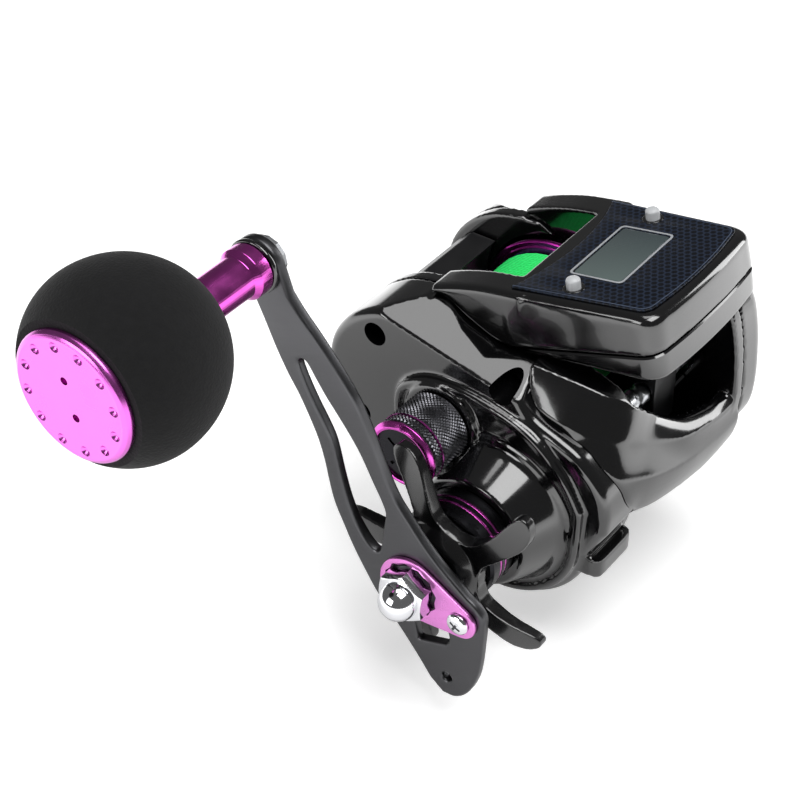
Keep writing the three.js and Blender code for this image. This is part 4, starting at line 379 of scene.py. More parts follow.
def cut(body, *tools):
    for tool in tools:
        body = boolean(body, tool, "DIFFERENCE")
    return body


def join(body, *others):
    for other in others:
        body = boolean(body, other, "UNION")
    return body


def bevel(thing, width, segments, angle):
    """Edges sharper than the angle, in degrees, are rounded."""
    edge = thing.modifiers.new("edge", "BEVEL")
    edge.width = width * MM
    edge.segments = segments
    edge.limit_method = "ANGLE"
    edge.angle_limit = math.radians(angle)
    edge.harden_normals = False
    return plain_mesh(thing)


def moulded(thing, cell, passes):
    """One skin over overlapping solids, with every edge eased as a mould leaves it."""
    skin = thing.modifiers.new("skin", "REMESH")
    skin.mode = "VOXEL"
    skin.voxel_size = cell * MM
    skin.adaptivity = 0
    ease = thing.modifiers.new("ease", "SMOOTH")
    ease.factor = 0.5
    ease.iterations = passes
    return plain_mesh(thing)


def finish_piece(thing, name, body, finish, node=None, angle=30, slot=None):
    """Name, finish and place a piece that stands for a CAD node or adds to one."""
    thing.name = name
    thing.data.name = name
    if finish:
        thing.data.materials.clear()
        thing.data.materials.append(FINISHES[finish])
    clean(thing)
    thing.data.shade_smooth()
    thing.data.set_sharp_from_angle(angle=math.radians(angle))
    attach(thing, body)
    slot = slot or SLOTS.get(finish, finish)
    if node:
        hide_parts(node)
    return thing


def cad_copy(node):
    """A merged copy of a CAD node, to be worked on."""
    thing = put("copy", frame["nodes"][node].data.copy())
    thing.data.materials.clear()
    return tidy(thing)


# Materials

def rgba(code):
    """An sRGB hex colour as linear values."""
    values = [int(code[i:i + 2], 16) / 255 for i in (1, 3, 5)]
    return (*[v / 12.92 if v <= 0.04045 else ((v + 0.055) / 1.055) ** 2.4 for v in values], 1)


def add_node(tree, kind, inputs=None, **settings):
    """A node with its settings; an input is a value, or the socket that feeds it."""
    node = tree.nodes.new(kind)
    for key, value in settings.items():
        setattr(node, key, value)
    for key, value in (inputs or {}).items():
        if isinstance(value, bpy.types.NodeSocket):
            tree.links.new(value, node.inputs[key])
        else:
            node.inputs[key].default_value = value
    return node


def maths(tree, operation, *values):
    """The result of a sum over values and sockets."""
    return add_node(tree, "ShaderNodeMath", dict(enumerate(values)), operation=operation).outputs[0]


def vector_maths(tree, operation, *values, result="Vector"):
    return add_node(tree, "ShaderNodeVectorMath", dict(enumerate(values)),
                    operation=operation).outputs[result]


def spread(tree, value, start, end, low=0, high=1, **settings):
    """A value's run from start to end, laid over the run from low to high."""
    return add_node(tree, "ShaderNodeMapRange", {
        "Value": value, "From Min": start, "From Max": end, "To Min": low, "To Max": high},
        **settings).outputs["Result"]


def object_place(tree):
    return add_node(tree, "ShaderNodeTexCoord").outputs["Object"]


def noise(tree, size_mm, detail, place=None):
    """Cloudy noise of a real size."""
    return add_node(tree, "ShaderNodeTexNoise", {
        "Vector": object_place(tree) if place is None else place,
        "Scale": 1 / (size_mm * MM), "Detail": detail}).outputs["Fac"]


def surface(name, color, roughness, metallic=0.0, patches=None, skin=None, rings=None, **sockets):
    """A material, its tree and its shader, with what its real surface shows.

    patches: their size in mm, and the lowest and highest roughness. skin: a bump's size in mm,
    detail, strength and depth in mm. rings: where a turning axis is in the side view, the pitch
    in mm, strength and depth in mm.
    """
    material = bpy.data.materials.new(name)
    material.use_nodes = True
    tree = material.node_tree
    tree.nodes.clear()
    shader = add_node(tree, "ShaderNodeBsdfPrincipled", {
        "Base Color": rgba(color), "Roughness": roughness, "Metallic": metallic, **sockets})
    add_node(tree, "ShaderNodeOutputMaterial", {"Surface": shader.outputs[0]})
    if patches:
        size_mm, low, high = patches
        drift = spread(tree, noise(tree, size_mm, 3), 0.3, 0.7, low, high)
        tree.links.new(drift, shader.inputs["Roughness"])
    if skin:
        grain(tree, shader, noise(tree, *skin[:2]), *skin[2:])
    if rings:
        grain(tree, shader, ring_height(tree, *rings[:2]), *rings[2:])
    return material, tree, shader


def finish(*given, **settings):
    return surface(*given, **settings)[0]


def lacquer(specular, weight, roughness, ior):
    return {"Specular IOR Level": specular, "Coat Weight": weight, "Coat Roughness": roughness,
            "Coat IOR": ior}


def grain(tree, shader, height, strength, depth_mm):
    """A bump from a height socket."""
    bump = add_node(tree, "ShaderNodeBump", {
        "Height": height, "Strength": strength, "Distance": depth_mm * MM})
    tree.links.new(bump.outputs["Normal"], shader.inputs["Normal"])


def shift_color(tree, shader, fac, dark, light):
    """A base colour that drifts between two shades."""
    mix = add_node(tree, "ShaderNodeMix", {"Factor": fac, 6: rgba(dark), 7: rgba(light)},
                   data_type="RGBA")
    tree.links.new(mix.outputs[2], shader.inputs["Base Color"])


def ring_height(tree, centre, pitch_mm):
    """Height of fine turning rings round an axis along X, through a side-view point."""
    axis = (0, -centre[0] * MM, (centre[1] + SPOOL_HEIGHT) * MM)
    place = vector_maths(tree, "SUBTRACT", object_place(tree), axis)
    flat = vector_maths(tree, "MULTIPLY", place, (0, 1, 1))
    reach = vector_maths(tree, "LENGTH", flat, result="Value")
    return maths(tree, "SINE", maths(tree, "MULTIPLY", reach, TURN / (pitch_mm * MM)))


def anodised(name, color, centre, roughness=0.24, pitch_mm=0.35):
    # Turned aluminium, dyed and sealed: tinted metal whose fine tool rings spread the highlight
    return finish(name, color, roughness, 1.0, (5, roughness - 0.05, roughness + 0.07),
                  rings=(centre, pitch_mm, 0.12, 0.02))


def metal(name, color, low, high):
    # Bare or plated metal: bright, with a faint directional polish
    material, tree, shader = surface(name, color, low, 1.0, (3, low, high))
    marks = add_node(tree, "ShaderNodeMapping", {
        "Vector": object_place(tree), "Scale": (0.15, 1, 1)})
    grain(tree, shader, noise(tree, 0.4, 2, marks.outputs[0]), 0.05, 0.02)
    return material


def eva_foam():
    # Closed-cell EVA turned on a lathe: dry black, soft sheen, open cells under half a millimetre
    material, tree, shader = surface("eva_foam", "#0b0b0c", 0.9, **{
        "Specular IOR Level": 0.25, "Sheen Weight": 0.05, "Sheen Roughness": 0.5})
    cells = add_node(tree, "ShaderNodeTexVoronoi", {
        "Vector": object_place(tree), "Scale": 1 / (0.55 * MM)})
    cloud = noise(tree, 1.6, 4)
    shift_color(tree, shader, cloud, "#060607", "#121213")
    grain(tree, shader, maths(tree, "ADD", cells.outputs["Distance"], cloud), 0.5, 0.12)
    return material


def label_plane(tree):
    """Coordinates in millimetres along and across the counter's label."""
    to_label = vector_maths(tree, "SUBTRACT", object_place(tree), tuple(COUNTER.translation * MM))
    return [vector_maths(tree, "DOT_PRODUCT", to_label, tuple(COUNTER.to_3x3().col[axis] / MM),
                         result="Value") for axis in (0, 2)]


def honeycomb(tree, along, across, pitch):
    """Distance to the nearest cell centre of a honeycomb, as a share of the cell."""
    distances = []
    for move in (0, 0.5):
        wrapped = []
        for value, size in ((along, pitch), (across, pitch * math.sqrt(3))):
            moved = maths(tree, "ADD", maths(tree, "MULTIPLY", value, 1 / size), move + 100)
            side = maths(tree, "SUBTRACT", maths(tree, "FRACT", moved), 0.5)
            wrapped.append(maths(tree, "ABSOLUTE", maths(tree, "MULTIPLY", side, size)))
        slant = maths(tree, "MULTIPLY", wrapped[0], 0.5)
        lean = maths(tree, "MULTIPLY_ADD", wrapped[1], math.sqrt(3) / 2, slant)
        distances.append(maths(tree, "MAXIMUM", wrapped[0], lean))
    return maths(tree, "MULTIPLY", maths(tree, "MINIMUM", *distances), 2 / pitch)


def label_film():
    # Printed polycarbonate film: navy with a honeycomb of small cells, under a clear gloss
    material, tree, shader = surface("honeycomb_label_film", "#0d111b", 0.34,
                                     **{"Specular IOR Level": 0.25})
    cell = honeycomb(tree, *label_plane(tree), HONEYCOMB_PITCH)
    wall = spread(tree, cell, 0.62, 0.86, interpolation_type="SMOOTHSTEP")
    shift_color(tree, shader, wall, "#06080f", "#1e2635")
    grain(tree, shader, wall, 0.12, 0.03)
    return material


def display_glass():
    # The liquid crystal's grey-green backing seen through a clear window
    material, tree, shader = surface("display_window", "#4a5556", 0.12, **{"Coat Weight": 0.6})
    # darker towards one side of the window, lighter towards the other
    depth = spread(tree, label_plane(tree)[1], -11, 11)
    shift_color(tree, shader, depth, "#333d40", "#566260")
    return material


def braided_line():
    # Eight-strand braid: bright green, dry, with the slant of its plaits
    material, tree, shader = surface("braided_line", "#1fe36b", 0.55)
    weave = add_node(tree, "ShaderNodeTexWave", {
        "Vector": object_place(tree), "Scale": 1 / (1.1 * MM), "Distortion": 3.0},
        bands_direction="DIAGONAL").outputs["Fac"]
    shift_color(tree, shader, weave, "#12cf58", "#3bf582")
    grain(tree, shader, weave, 0.3, 0.05)
    return material


def solder_mask():
    # Circuit board lacquer over glass cloth
    material, tree, shader = surface("board_lacquer", "#12502c", 0.4)
    cloth = add_node(tree, "ShaderNodeTexChecker", {
        "Vector": object_place(tree), "Scale": 1 / (0.5 * MM)})
    grain(tree, shader, cloth.outputs["Fac"], 0.1, 0.03)
    return material


def drag_fibre():
    # Pressed carbon fibre disc
    material, tree, shader = surface("drag_fibre", "#2a2724", 0.8)
    fibres = noise(tree, 0.4, 4)
    shift_color(tree, shader, fibres, "#1c1a18", "#3a3632")
    grain(tree, shader, fibres, 0.4, 0.05)
    return material


HONEYCOMB_PITCH = 1.5

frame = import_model()
KNOB_AXIS = (REEL.inverted() @ HANDLE @ Vector((0, HANDLE_LENGTH, 0)))[:2]

FINISHES = {
    # Moulded ABS from a polished tool: deep black, mirror-like, with a faint orange peel
    "glossBlack": finish("gloss_black_abs", "#060607", 0.1, 0.0, (14, 0.09, 0.17),
                         (2.4, 1, 0.05, 0.08), **lacquer(0.7, 0.4, 0.04, 1.6)),
    # Glass-filled nylon from a spark-eroded tool: a fine even grain scatters the light
    "satinBlack": finish("satin_black_nylon", "#0d0d0f", 0.36, 0.0, (6, 0.3, 0.42),
                         (0.35, 2, 0.15, 0.04)),
    # Die-cast aluminium under thick black lacquer: rounder gloss than the housings
    "moulded": finish("black_lacquered_casting", "#070708", 0.2, 0.0, (8, 0.16, 0.26),
                      (1.8, 1, 0.06, 0.06), **lacquer(0.55, 0.35, 0.08, 1.5)),
    # Forged aluminium, blasted fine and dyed black: grey where it faces the light
    "blackMetal": finish("black_anodised_aluminium", "#4c4c4e", 0.36, 1.0, (9, 0.3, 0.42),
                         (0.3, 2, 0.08, 0.03)),
    # Turned aluminium, dyed black: darker and smoother than the forged arm
    "satinMetal": finish("black_anodised_turned", "#29292c", 0.28, 1.0, (4, 0.22, 0.34),
                         rings=(DRIVE, 0.3, 0.08, 0.02)),
    # Turned and knurled aluminium, dyed black: each diamond's flank catches its own light
    "knurled": finish("black_anodised_knurled", "#57575b", 0.27, 1.0, (2, 0.22, 0.34)),
    "pinkMetal": anodised("magenta_anodised", "#c964bf", KNOB_AXIS),
    "pinkGloss": anodised("magenta_anodised_bright", "#c854b4", (0, 0), 0.2, 0.5),
    "pinkPlate": anodised("magenta_anodised_plate", "#dc88d0", DRIVE, 0.3, 0.4),
    "spoolPink": anodised("magenta_anodised_spool", "#a02c8e", (0, 0), 0.2, 0.3),
    "bareMetal": metal("machined_steel", "#a9abae", 0.24, 0.36),
    "chrome": metal("chrome_plate", "#dcdde0", 0.05, 0.12),
    "brass": metal("machined_brass", "#c19a4e", 0.25, 0.38),
    # Screen-printed silver ink: pale, half metallic
    "silverInk": finish("silver_ink", "#b9bcc0", 0.35, 0.4, (1, 0.3, 0.42)),
    # The thin grey-blue line printed round the label
    "outlineInk": finish("grey_outline_ink", "#4a5466", 0.4, 0.0, (1, 0.35, 0.47)),
    # Frosted ABS cap: pale grey, light soaks in a little
    "buttonResin": finish("frosted_button", "#b9bbbd", 0.38, 0.0, (1.2, 0.32, 0.46), **{
        "Subsurface Weight": 0.2, "Subsurface Radius": (0.6 * MM, 0.6 * MM, 0.6 * MM)}),
    "foam": eva_foam(),
    "labelFilm": label_film(),
    "glass": display_glass(),
    "lineGreen": braided_line(),
    "boardGreen": solder_mask(),
    "dragFibre": drag_fibre(),
}

# The record's slot for each finish that the record has no slot for
SLOTS = {"moulded": "satinBlack", "satinMetal": "blackMetal", "knurled": "blackMetal",
         "pinkGloss": "pinkMetal", "pinkPlate": "pinkMetal", "spoolPink": "pinkMetal",
         "bareMetal": "chrome", "silverInk": "labelFilm", "outlineInk": "labelFilm"}


def finish_cad_nodes():
    """Every CAD node takes its slot's finish; those replaced later are hidden."""
    slots = {entry["node"]: entry["material_slot"] for entry in frame["record"]["subparts"]}
    for node, thing in frame["nodes"].items():
        thing.data.materials.clear()
        thing.data.materials.append(FINISHES[slots[node]])


finish_cad_nodes()


# Studio

CAMERA_PLACE = (-0.2933, -0.1788, 0.2847)
CAMERA_RIGHT = Vector((0.589, -0.808, 0.003))
CAMERA_DOWN = Vector((-0.505, -0.371, -0.779))
LENS_MM = 90
SENSOR_MM = 36
FLOOR_DROP = 0.0235
FLOOR_HALF = 3.0
PAPER_GLOW = 0.4
# Painted reflection: gloss sees the floor unlit near the reel, as painted shade, and glowing
# farther out
TABLE_NEAR = 0.06
TABLE_FAR = 0.24
PAINTED_REFLECTION_GLOW = 1.3
WORLD_GLOW = 0.14
LAMP_TARGET = (-0.03, 0, 0.03)


def camera():
    right = CAMERA_RIGHT.normalized()
    up = (-CAMERA_DOWN - right * right.dot(-CAMERA_DOWN)).normalized()
    lens = bpy.data.cameras.new("camera")
    lens.lens = LENS_MM
    lens.sensor_width = SENSOR_MM
    lens.clip_start = 0.01
    lens.clip_end = 20
    thing = put("camera", lens)
    turn = Matrix((right, up, right.cross(up))).transposed().to_4x4()
    thing.matrix_world = Matrix.Translation(CAMERA_PLACE) @ turn
    bpy.context.scene.camera = thing


def seen_white(tree, base):
    """Adds white to what the camera sees, and more, farther out, to what gloss reflects: a painted
    reflection, with painted shade in the gloss near the reel.

    No light falls from it.
    """
    rays = add_node(tree, "ShaderNodeLightPath").outputs
    seen = maths(tree, "MAXIMUM", rays["Is Camera Ray"], rays["Is Transmission Ray"])
    plain = maths(tree, "MULTIPLY", seen, PAPER_GLOW)
    # painted reflection: dark in gloss near the reel as painted shade, bright farther out
    reach = vector_maths(tree, "LENGTH", object_place(tree), result="Value")
    painted_reflection = spread(tree, reach, TABLE_NEAR, TABLE_FAR, 0, PAINTED_REFLECTION_GLOW,
                   interpolation_type="SMOOTHSTEP")
    glow = add_node(tree, "ShaderNodeEmission", {
        "Color": (1, 1, 1, 1),
        "Strength": maths(tree, "MULTIPLY_ADD", painted_reflection, rays["Is Glossy Ray"], plain)})
    return add_node(tree, "ShaderNodeAddShader", {0: base, 1: glow.outputs[0]}).outputs[0]


def floor():
    """Pale matte paper under the reel; it keeps the soft shadow."""
    mesh = bpy.data.meshes.new("floor")
    corners = [(-1, -1), (1, -1), (1, 1), (-1, 1)]
    mesh.from_pydata([(x * FLOOR_HALF, y * FLOOR_HALF, -FLOOR_DROP) for x, y in corners],
                     [], [(0, 1, 2, 3)])
    thing = put("floor", mesh)
    paper = bpy.data.materials.new("white_paper")
    paper.use_nodes = True
    tree = paper.node_tree
    tree.nodes.clear()
    matte = add_node(tree, "ShaderNodeBsdfDiffuse", {"Color": rgba("#efefef")})
    add_node(tree, "ShaderNodeOutputMaterial", {"Surface": seen_white(tree, matte.outputs[0])})
    mesh.materials.append(paper)


def softbox(name, place, size, power):
    lamp = bpy.data.lights.new(name, "AREA")
    lamp.shape = "RECTANGLE"
    lamp.size, lamp.size_y = size
    lamp.energy = power
    thing = put(name, lamp)
    thing.location = place
    aim = Vector(LAMP_TARGET) - Vector(place)
    thing.rotation_euler = aim.to_track_quat("-Z", "Y").to_euler()


def studio():
    softbox("overhead", (-0.05, -0.3, 0.85), (0.6, 0.5), 6.5)
    softbox("ceiling", (0.08, 0.08, 0.95), (0.4, 0.35), 1.5)
    softbox("front_strip", (0.75, -0.5, 0.3), (0.25, 0.6), 3.0)
    softbox("handle_side", (-0.8, 0.25, 0.35), (0.5, 0.4), 3.5)
    world = bpy.data.worlds.new("studio")
    bpy.context.scene.world = world
    world.use_nodes = True
    tree = world.node_tree
    tree.nodes.clear()
    room = add_node(tree, "ShaderNodeBackground", {
        "Color": (1, 1, 1, 1), "Strength": WORLD_GLOW})
    add_node(tree, "ShaderNodeOutputWorld", {"Surface": room.outputs[0]})
    bpy.context.scene.view_settings.view_transform = "Standard"


# Copies round a circle and wound line, by geometry nodes

def node_group(name, **sockets):
    """A geometry tree, and its named inputs."""
    tree = bpy.data.node_groups.new(name, "GeometryNodeTree")
    for key, kind in {**sockets, "Finish": "Material"}.items():
        tree.interface.new_socket(key.replace("_", " "), in_out="INPUT",
                                  socket_type=f"NodeSocket{kind}")
    tree.interface.new_socket("Made", in_out="OUTPUT", socket_type="NodeSocketGeometry")
    return tree, add_node(tree, "NodeGroupInput").outputs


def give_out(tree, given, geometry):
    """Instances made real and given their finish, as the tree's result."""
    real = add_node(tree, "GeometryNodeRealizeInstances", {"Geometry": geometry})
    painted = add_node(tree, "GeometryNodeSetMaterial", {
        "Geometry": real.outputs[0], "Material": given["Finish"]})
    add_node(tree, "NodeGroupOutput", {"Made": painted.outputs[0]})
    return tree


def copies_tree():
    tree, given = node_group("copies_round_a_circle", Shape="Object", Count="Int",
                             Radius="Float", First_Angle="Float")
    shape = add_node(tree, "GeometryNodeObjectInfo", {"Object": given["Shape"]})
    ring = add_node(tree, "GeometryNodeMeshCircle", {
        "Vertices": given["Count"], "Radius": given["Radius"]})
    index = add_node(tree, "GeometryNodeInputIndex").outputs[0]
    angle = maths(tree, "MULTIPLY", index, maths(tree, "DIVIDE", TURN, given["Count"]))
    turn = add_node(tree, "ShaderNodeCombineXYZ", {"Z": angle})
    copies = add_node(tree, "GeometryNodeInstanceOnPoints", {
        "Points": ring.outputs["Mesh"], "Instance": shape.outputs["Geometry"],
        "Rotation": turn.outputs[0]})
    first = add_node(tree, "ShaderNodeCombineXYZ", {"Z": given["First Angle"]})
    turned = add_node(tree, "GeometryNodeTransform", {
        "Geometry": copies.outputs[0], "Rotation": first.outputs[0]})
    return give_out(tree, given, turned.outputs[0])


def winding_tree():
    tree, given = node_group("line_winding", Loops="Float", Radius="Float", Length="Float",
                             Line_Radius="Float")
    route = add_node(tree, "GeometryNodeCurveSpiral", {
        "Resolution": 40, "Rotations": given["Loops"], "Start Radius": given["Radius"],
        "End Radius": given["Radius"], "Height": given["Length"]})
    section = add_node(tree, "GeometryNodeCurvePrimitiveCircle", {
        "Resolution": 8, "Radius": given["Line Radius"]})
    tube = add_node(tree, "GeometryNodeCurveToMesh", {
        "Curve": route.outputs[0], "Profile Curve": section.outputs[0], "Fill Caps": True})
    return give_out(tree, given, tube.outputs[0])


def through_tree(name, tree, values, frame):
    """A plain mesh made by a geometry tree from named values, then put in its frame."""
    thing = put(name, bpy.data.meshes.new(name))
    nodes = thing.modifiers.new("nodes", "NODES")
    nodes.node_group = tree
    for socket in tree.interface.items_tree:
        if socket.in_out == "INPUT" and socket.name in values:
            nodes[socket.identifier] = values[socket.name]
    thing = plain_mesh(thing)
    thing.data.transform(Matrix.Scale(MM, 4) @ frame)
    return thing


def copies_round(shape, count, radius, centre=(0, 0), first=0.0, frame=REEL):
    """Copies of a shape, drawn in millimetres round its own axis, on a circle."""
    made = through_tree("copies", COPIES, {
        "Shape": shape, "Count": count, "Radius": float(radius), "First Angle": float(first),
        "Finish": None}, frame @ shift(*centre))
    bpy.data.objects.remove(shape)
    return tidy(made)


def small_shape(profile, steps=24):
    """A turned shape left in millimetres, to be copied."""
    shape = lathe("shape", profile, frame=Matrix.Identity(4), steps=steps)
    shape.data.transform(Matrix.Scale(1 / MM, 4))
    return shape


COPIES = copies_tree()


# Knob: a foam ball on a pink stepped neck, under a dimpled cap

KNOB_START = 81
KNOB_END = 111.4
KNOB_RADIUS = 19
KNOB_WIDEST = 100
KNOB_FRONT_LENGTH = 19.4
KNOB_BACK_LENGTH = 17.5
KNOB_CAP_RADIUS = 13.1
KNOB_CAP_THICKNESS = 2
CAP_DISH = 0.25
DIMPLE_COUNT = 12
DIMPLE_CIRCLE = 10.4
DIMPLE_RADIUS = 1.15
DIMPLE_DEPTH = 0.75
PIN_HOLE_SPACING = 7.4
PIN_HOLE_ANGLE = 1.34
PIN_HOLE_RADIUS = 0.8
NECK_START = 65.2
NECK_COLLAR_LENGTH = 3.8
NECK_COLLAR_RADIUS = 5.25
NECK_RADIUS = 4.3
NECK_BORE = 2.9
ARM_KNOB_FACE = 63.8
BOSS_RING_RADIUS = 5.65
KNOB_CENTRE = (0, HANDLE_LENGTH)


def knob_radius(z):
    reach = KNOB_FRONT_LENGTH if z < KNOB_WIDEST else KNOB_BACK_LENGTH
    return KNOB_RADIUS * math.sqrt(max(1 - ((z - KNOB_WIDEST) / reach) ** 2, 0))


def knob_grip():
    steps = 72
    profile = []
    for i in range(steps + 1):
        z = KNOB_START + (KNOB_END - GAP - KNOB_START) * (1 - math.cos(math.pi * i / steps)) / 2
        profile.append((knob_radius(z), z))
    bore = [(NECK_RADIUS + GAP, KNOB_END - GAP), (NECK_RADIUS + GAP, KNOB_START)]
    ball = lathe("ball", profile + bore, KNOB_CENTRE, HANDLE)
    grip = finish_piece(ball, "foam_grip", "knob", "foam", "knob_grip", 40)


def knob_cap():
    top = KNOB_END + KNOB_CAP_THICKNESS
    rim = KNOB_CAP_RADIUS
    profile = soften([
        (0, KNOB_END), (rim, KNOB_END), (rim, top - 1.1), (rim - 0.35, top - 0.45),
        (rim - 1.1, top - 0.05), (rim - 1.5, top - 0.1), (0, top - CAP_DISH)], 0.2, closed=False)
    cap = lathe("cap", profile, KNOB_CENTRE, HANDLE)
    dimple = small_shape([
        (0, top - DIMPLE_DEPTH - CAP_DISH), (DIMPLE_RADIUS * 0.55, top - DIMPLE_DEPTH * 0.8),
        (DIMPLE_RADIUS, top), (DIMPLE_RADIUS, top + OVERRUN), (0, top + OVERRUN)])
    dimples = copies_round(dimple, DIMPLE_COUNT, DIMPLE_CIRCLE, KNOB_CENTRE,
                           TURN / 2 / DIMPLE_COUNT, HANDLE)
    places = [polar(KNOB_CENTRE, side * PIN_HOLE_SPACING / 2, PIN_HOLE_ANGLE) for side in (1, -1)]
    holes = [disc(PIN_HOLE_RADIUS, KNOB_END + 0.4, top + OVERRUN, place, HANDLE, 24)
             for place in places]
    finish_piece(cut(cap, dimples, *holes), "dimpled_cap", "knob", "pinkMetal", "knob_cap", 25)


def knob_neck():
    step = NECK_START + NECK_COLLAR_LENGTH
    profile = soften([
        (NECK_BORE, NECK_START), (NECK_COLLAR_RADIUS, NECK_START),
        (NECK_COLLAR_RADIUS, step - 1.0), (NECK_RADIUS + 0.15, step), (NECK_RADIUS, step + 0.2),
        (NECK_RADIUS, KNOB_END - GAP), (NECK_BORE, KNOB_END - GAP)], 0.12)
    neck = lathe("neck", profile, KNOB_CENTRE, HANDLE, 96)
    finish_piece(neck, "knob_sleeve", "knob", "pinkGloss", "knob_neck", 25)
    profile = band(NECK_BORE, BOSS_RING_RADIUS, ARM_KNOB_FACE + 0.1, ARM_KNOB_FACE + 1.2)
    ring = lathe("ring", soften(profile, 0.5, 5), KNOB_CENTRE, HANDLE, 96)
    finish_piece(ring, "knob_base_ring", "crank", "glossBlack", "knob_boss", slot="blackMetal")


# Handle: a curved arm of black plate, its pink retainer, screw and cap nut

ARM_BACK = 58.3
ARM_THICKNESS = 2.4
ARM_FACE = ARM_BACK + ARM_THICKNESS
ARM_RISE = 3
ARM_RISE_START = 12
ARM_RISE_LENGTH = 50
ARM_SLICES = 40
ARM_END_RADIUS = 5.5
ARM_HALF_WIDTH = 8
ARM_BEVEL = 0.7
THREAD_RADIUS = 4
NUT_FLATS = 10
NUT_CORNER = NUT_FLATS / math.sqrt(3)
NUT_HEIGHT = 4.6
DOME_RADIUS = 4.15
DOME_HEIGHT = 4.18
PLATE_THICKNESS = 1
PLATE_RADIUS = 7.4
PLATE_TIP_RADIUS = 3.8
PLATE_SCREW = (9.3, -7.5)
PLATE_TEETH = 24
POST_RADIUS = 2.2
SCREW_BORE = 1.2
HANG_HOLE = (-2.1, -22.2)
HANG_HOLE_RADIUS = 1.1

# The arm's outline and openings, as shares of its length and of its half width
HANDLE_RIGHT_SHARES = [
    (0.905, 0.562), (0.851, 0.662), (0.792, 0.812), (0.726, 0.938), (0.645, 1.038),
    (0.572, 1.062), (0.47, 0.95), (0.401, 0.838), (0.332, 0.738), (0.268, 0.713), (0.211, 0.8),
    (0.141, 0.95), (0.072, 1.163), (0.011, 1.413), (-0.034, 1.62), (-0.066, 1.79), (-0.104, 1.84),
    (-0.142, 1.68), (-0.188, 1.438), (-0.269, 0.975), (-0.319, 0.6), (-0.357, 0.15),
    (-0.37, -0.275), (-0.356, -0.65),
]
HANDLE_LEFT_SHARES = [
    (-0.306, -0.863), (-0.239, -0.963), (-0.173, -1.087), (-0.132, -1.175), (-0.034, -1.4),
    (0.052, -1.488), (0.129, -1.525), (0.201, -1.5), (0.272, -1.438), (0.345, -1.238),
    (0.404, -1.038), (0.474, -0.85), (0.538, -0.75), (0.617, -0.675), (0.686, -0.675),
    (0.766, -0.637), (0.832, -0.588), (0.904, -0.562),
]
HANDLE_SLOT_SHARES = [
    (0.708, -0.163), (0.723, 0), (0.712, 0.138), (0.662, 0.163), (0.606, 0.188), (0.554, 0.237),
    (0.489, 0.287), (0.435, 0.3), (0.389, 0.275), (0.326, 0.225), (0.273, 0.2), (0.23, 0.125),
    (0.177, -0.212), (0.121, -0.575), (0.111, -0.725), (0.121, -0.85), (0.156, -0.963),
    (0.215, -1.012), (0.28, -0.938), (0.357, -0.738), (0.423, -0.525), (0.474, -0.388),
    (0.526, -0.338), (0.584, -0.312), (0.645, -0.263),
]
HANDLE_WINDOW_SHARES = [
    (-0.106, -0.487), (-0.175, -0.675), (-0.19, 0.3), (-0.162, 0.45), (-0.125, 0.487),
    (-0.114, 0.075),
]


def arm_points(shares):
    return [(side * ARM_HALF_WIDTH, along * HANDLE_LENGTH) for along, side in shares]


def arm_rise(y):
    share = min(max((y - ARM_RISE_START) / ARM_RISE_LENGTH, 0), 1)
    return ARM_RISE * share * share * (3 - 2 * share)


def warp(thing, frame, change):
    """Moves every vertex by a rule given in the frame's millimetres."""
    to_frame = (Matrix.Scale(MM, 4) @ frame).inverted()
    back = to_frame.inverted()
    for vertex in thing.data.vertices:
        vertex.co = back @ Vector(change(*(to_frame @ vertex.co)))
    thing.data.update()


def sliced(thing, frame, stations):
    """Cuts new edges across a mesh at stations along y, so that it can bend."""
    axis = (frame.to_3x3() @ Vector((0, 1, 0))).normalized()
    with editing(thing) as work:
        for y in stations:
            bmesh.ops.bisect_plane(work, geom=work.verts[:] + work.edges[:] + work.faces[:],
                                   plane_co=(frame @ Vector((0, y, 0))) * MM, plane_no=axis)


def handle_arm():
    top = arc((0, HANDLE_LENGTH), ARM_END_RADIUS, math.pi * 1.06, math.pi * -0.06, 28)
    right = smooth_run(arm_points(HANDLE_RIGHT_SHARES))
    left = smooth_run(arm_points(HANDLE_LEFT_SHARES))
    holes = [
        smooth_ring(arm_points(HANDLE_SLOT_SHARES)),
        soften(arm_points(HANDLE_WINDOW_SHARES), 0.8),
        circle((0, 0), THREAD_RADIUS + GAP), circle((0, HANDLE_LENGTH), POST_RADIUS + GAP),
        circle(PLATE_SCREW, SCREW_BORE, 16), circle(HANG_HOLE, HANG_HOLE_RADIUS, 24),
    ]
    arm = plate("arm", top + right + left, holes, ARM_BACK, ARM_FACE, ARM_BEVEL, HANDLE)
    sliced(arm, HANDLE, [ARM_RISE_START + ARM_RISE_LENGTH * i / ARM_SLICES
                         for i in range(ARM_SLICES + 1)])
    warp(arm, HANDLE, lambda x, y, z: (x, y, z + arm_rise(y)))
    finish_piece(arm, "crank_arm", "crank", "blackMetal", "handle_arm", 24)


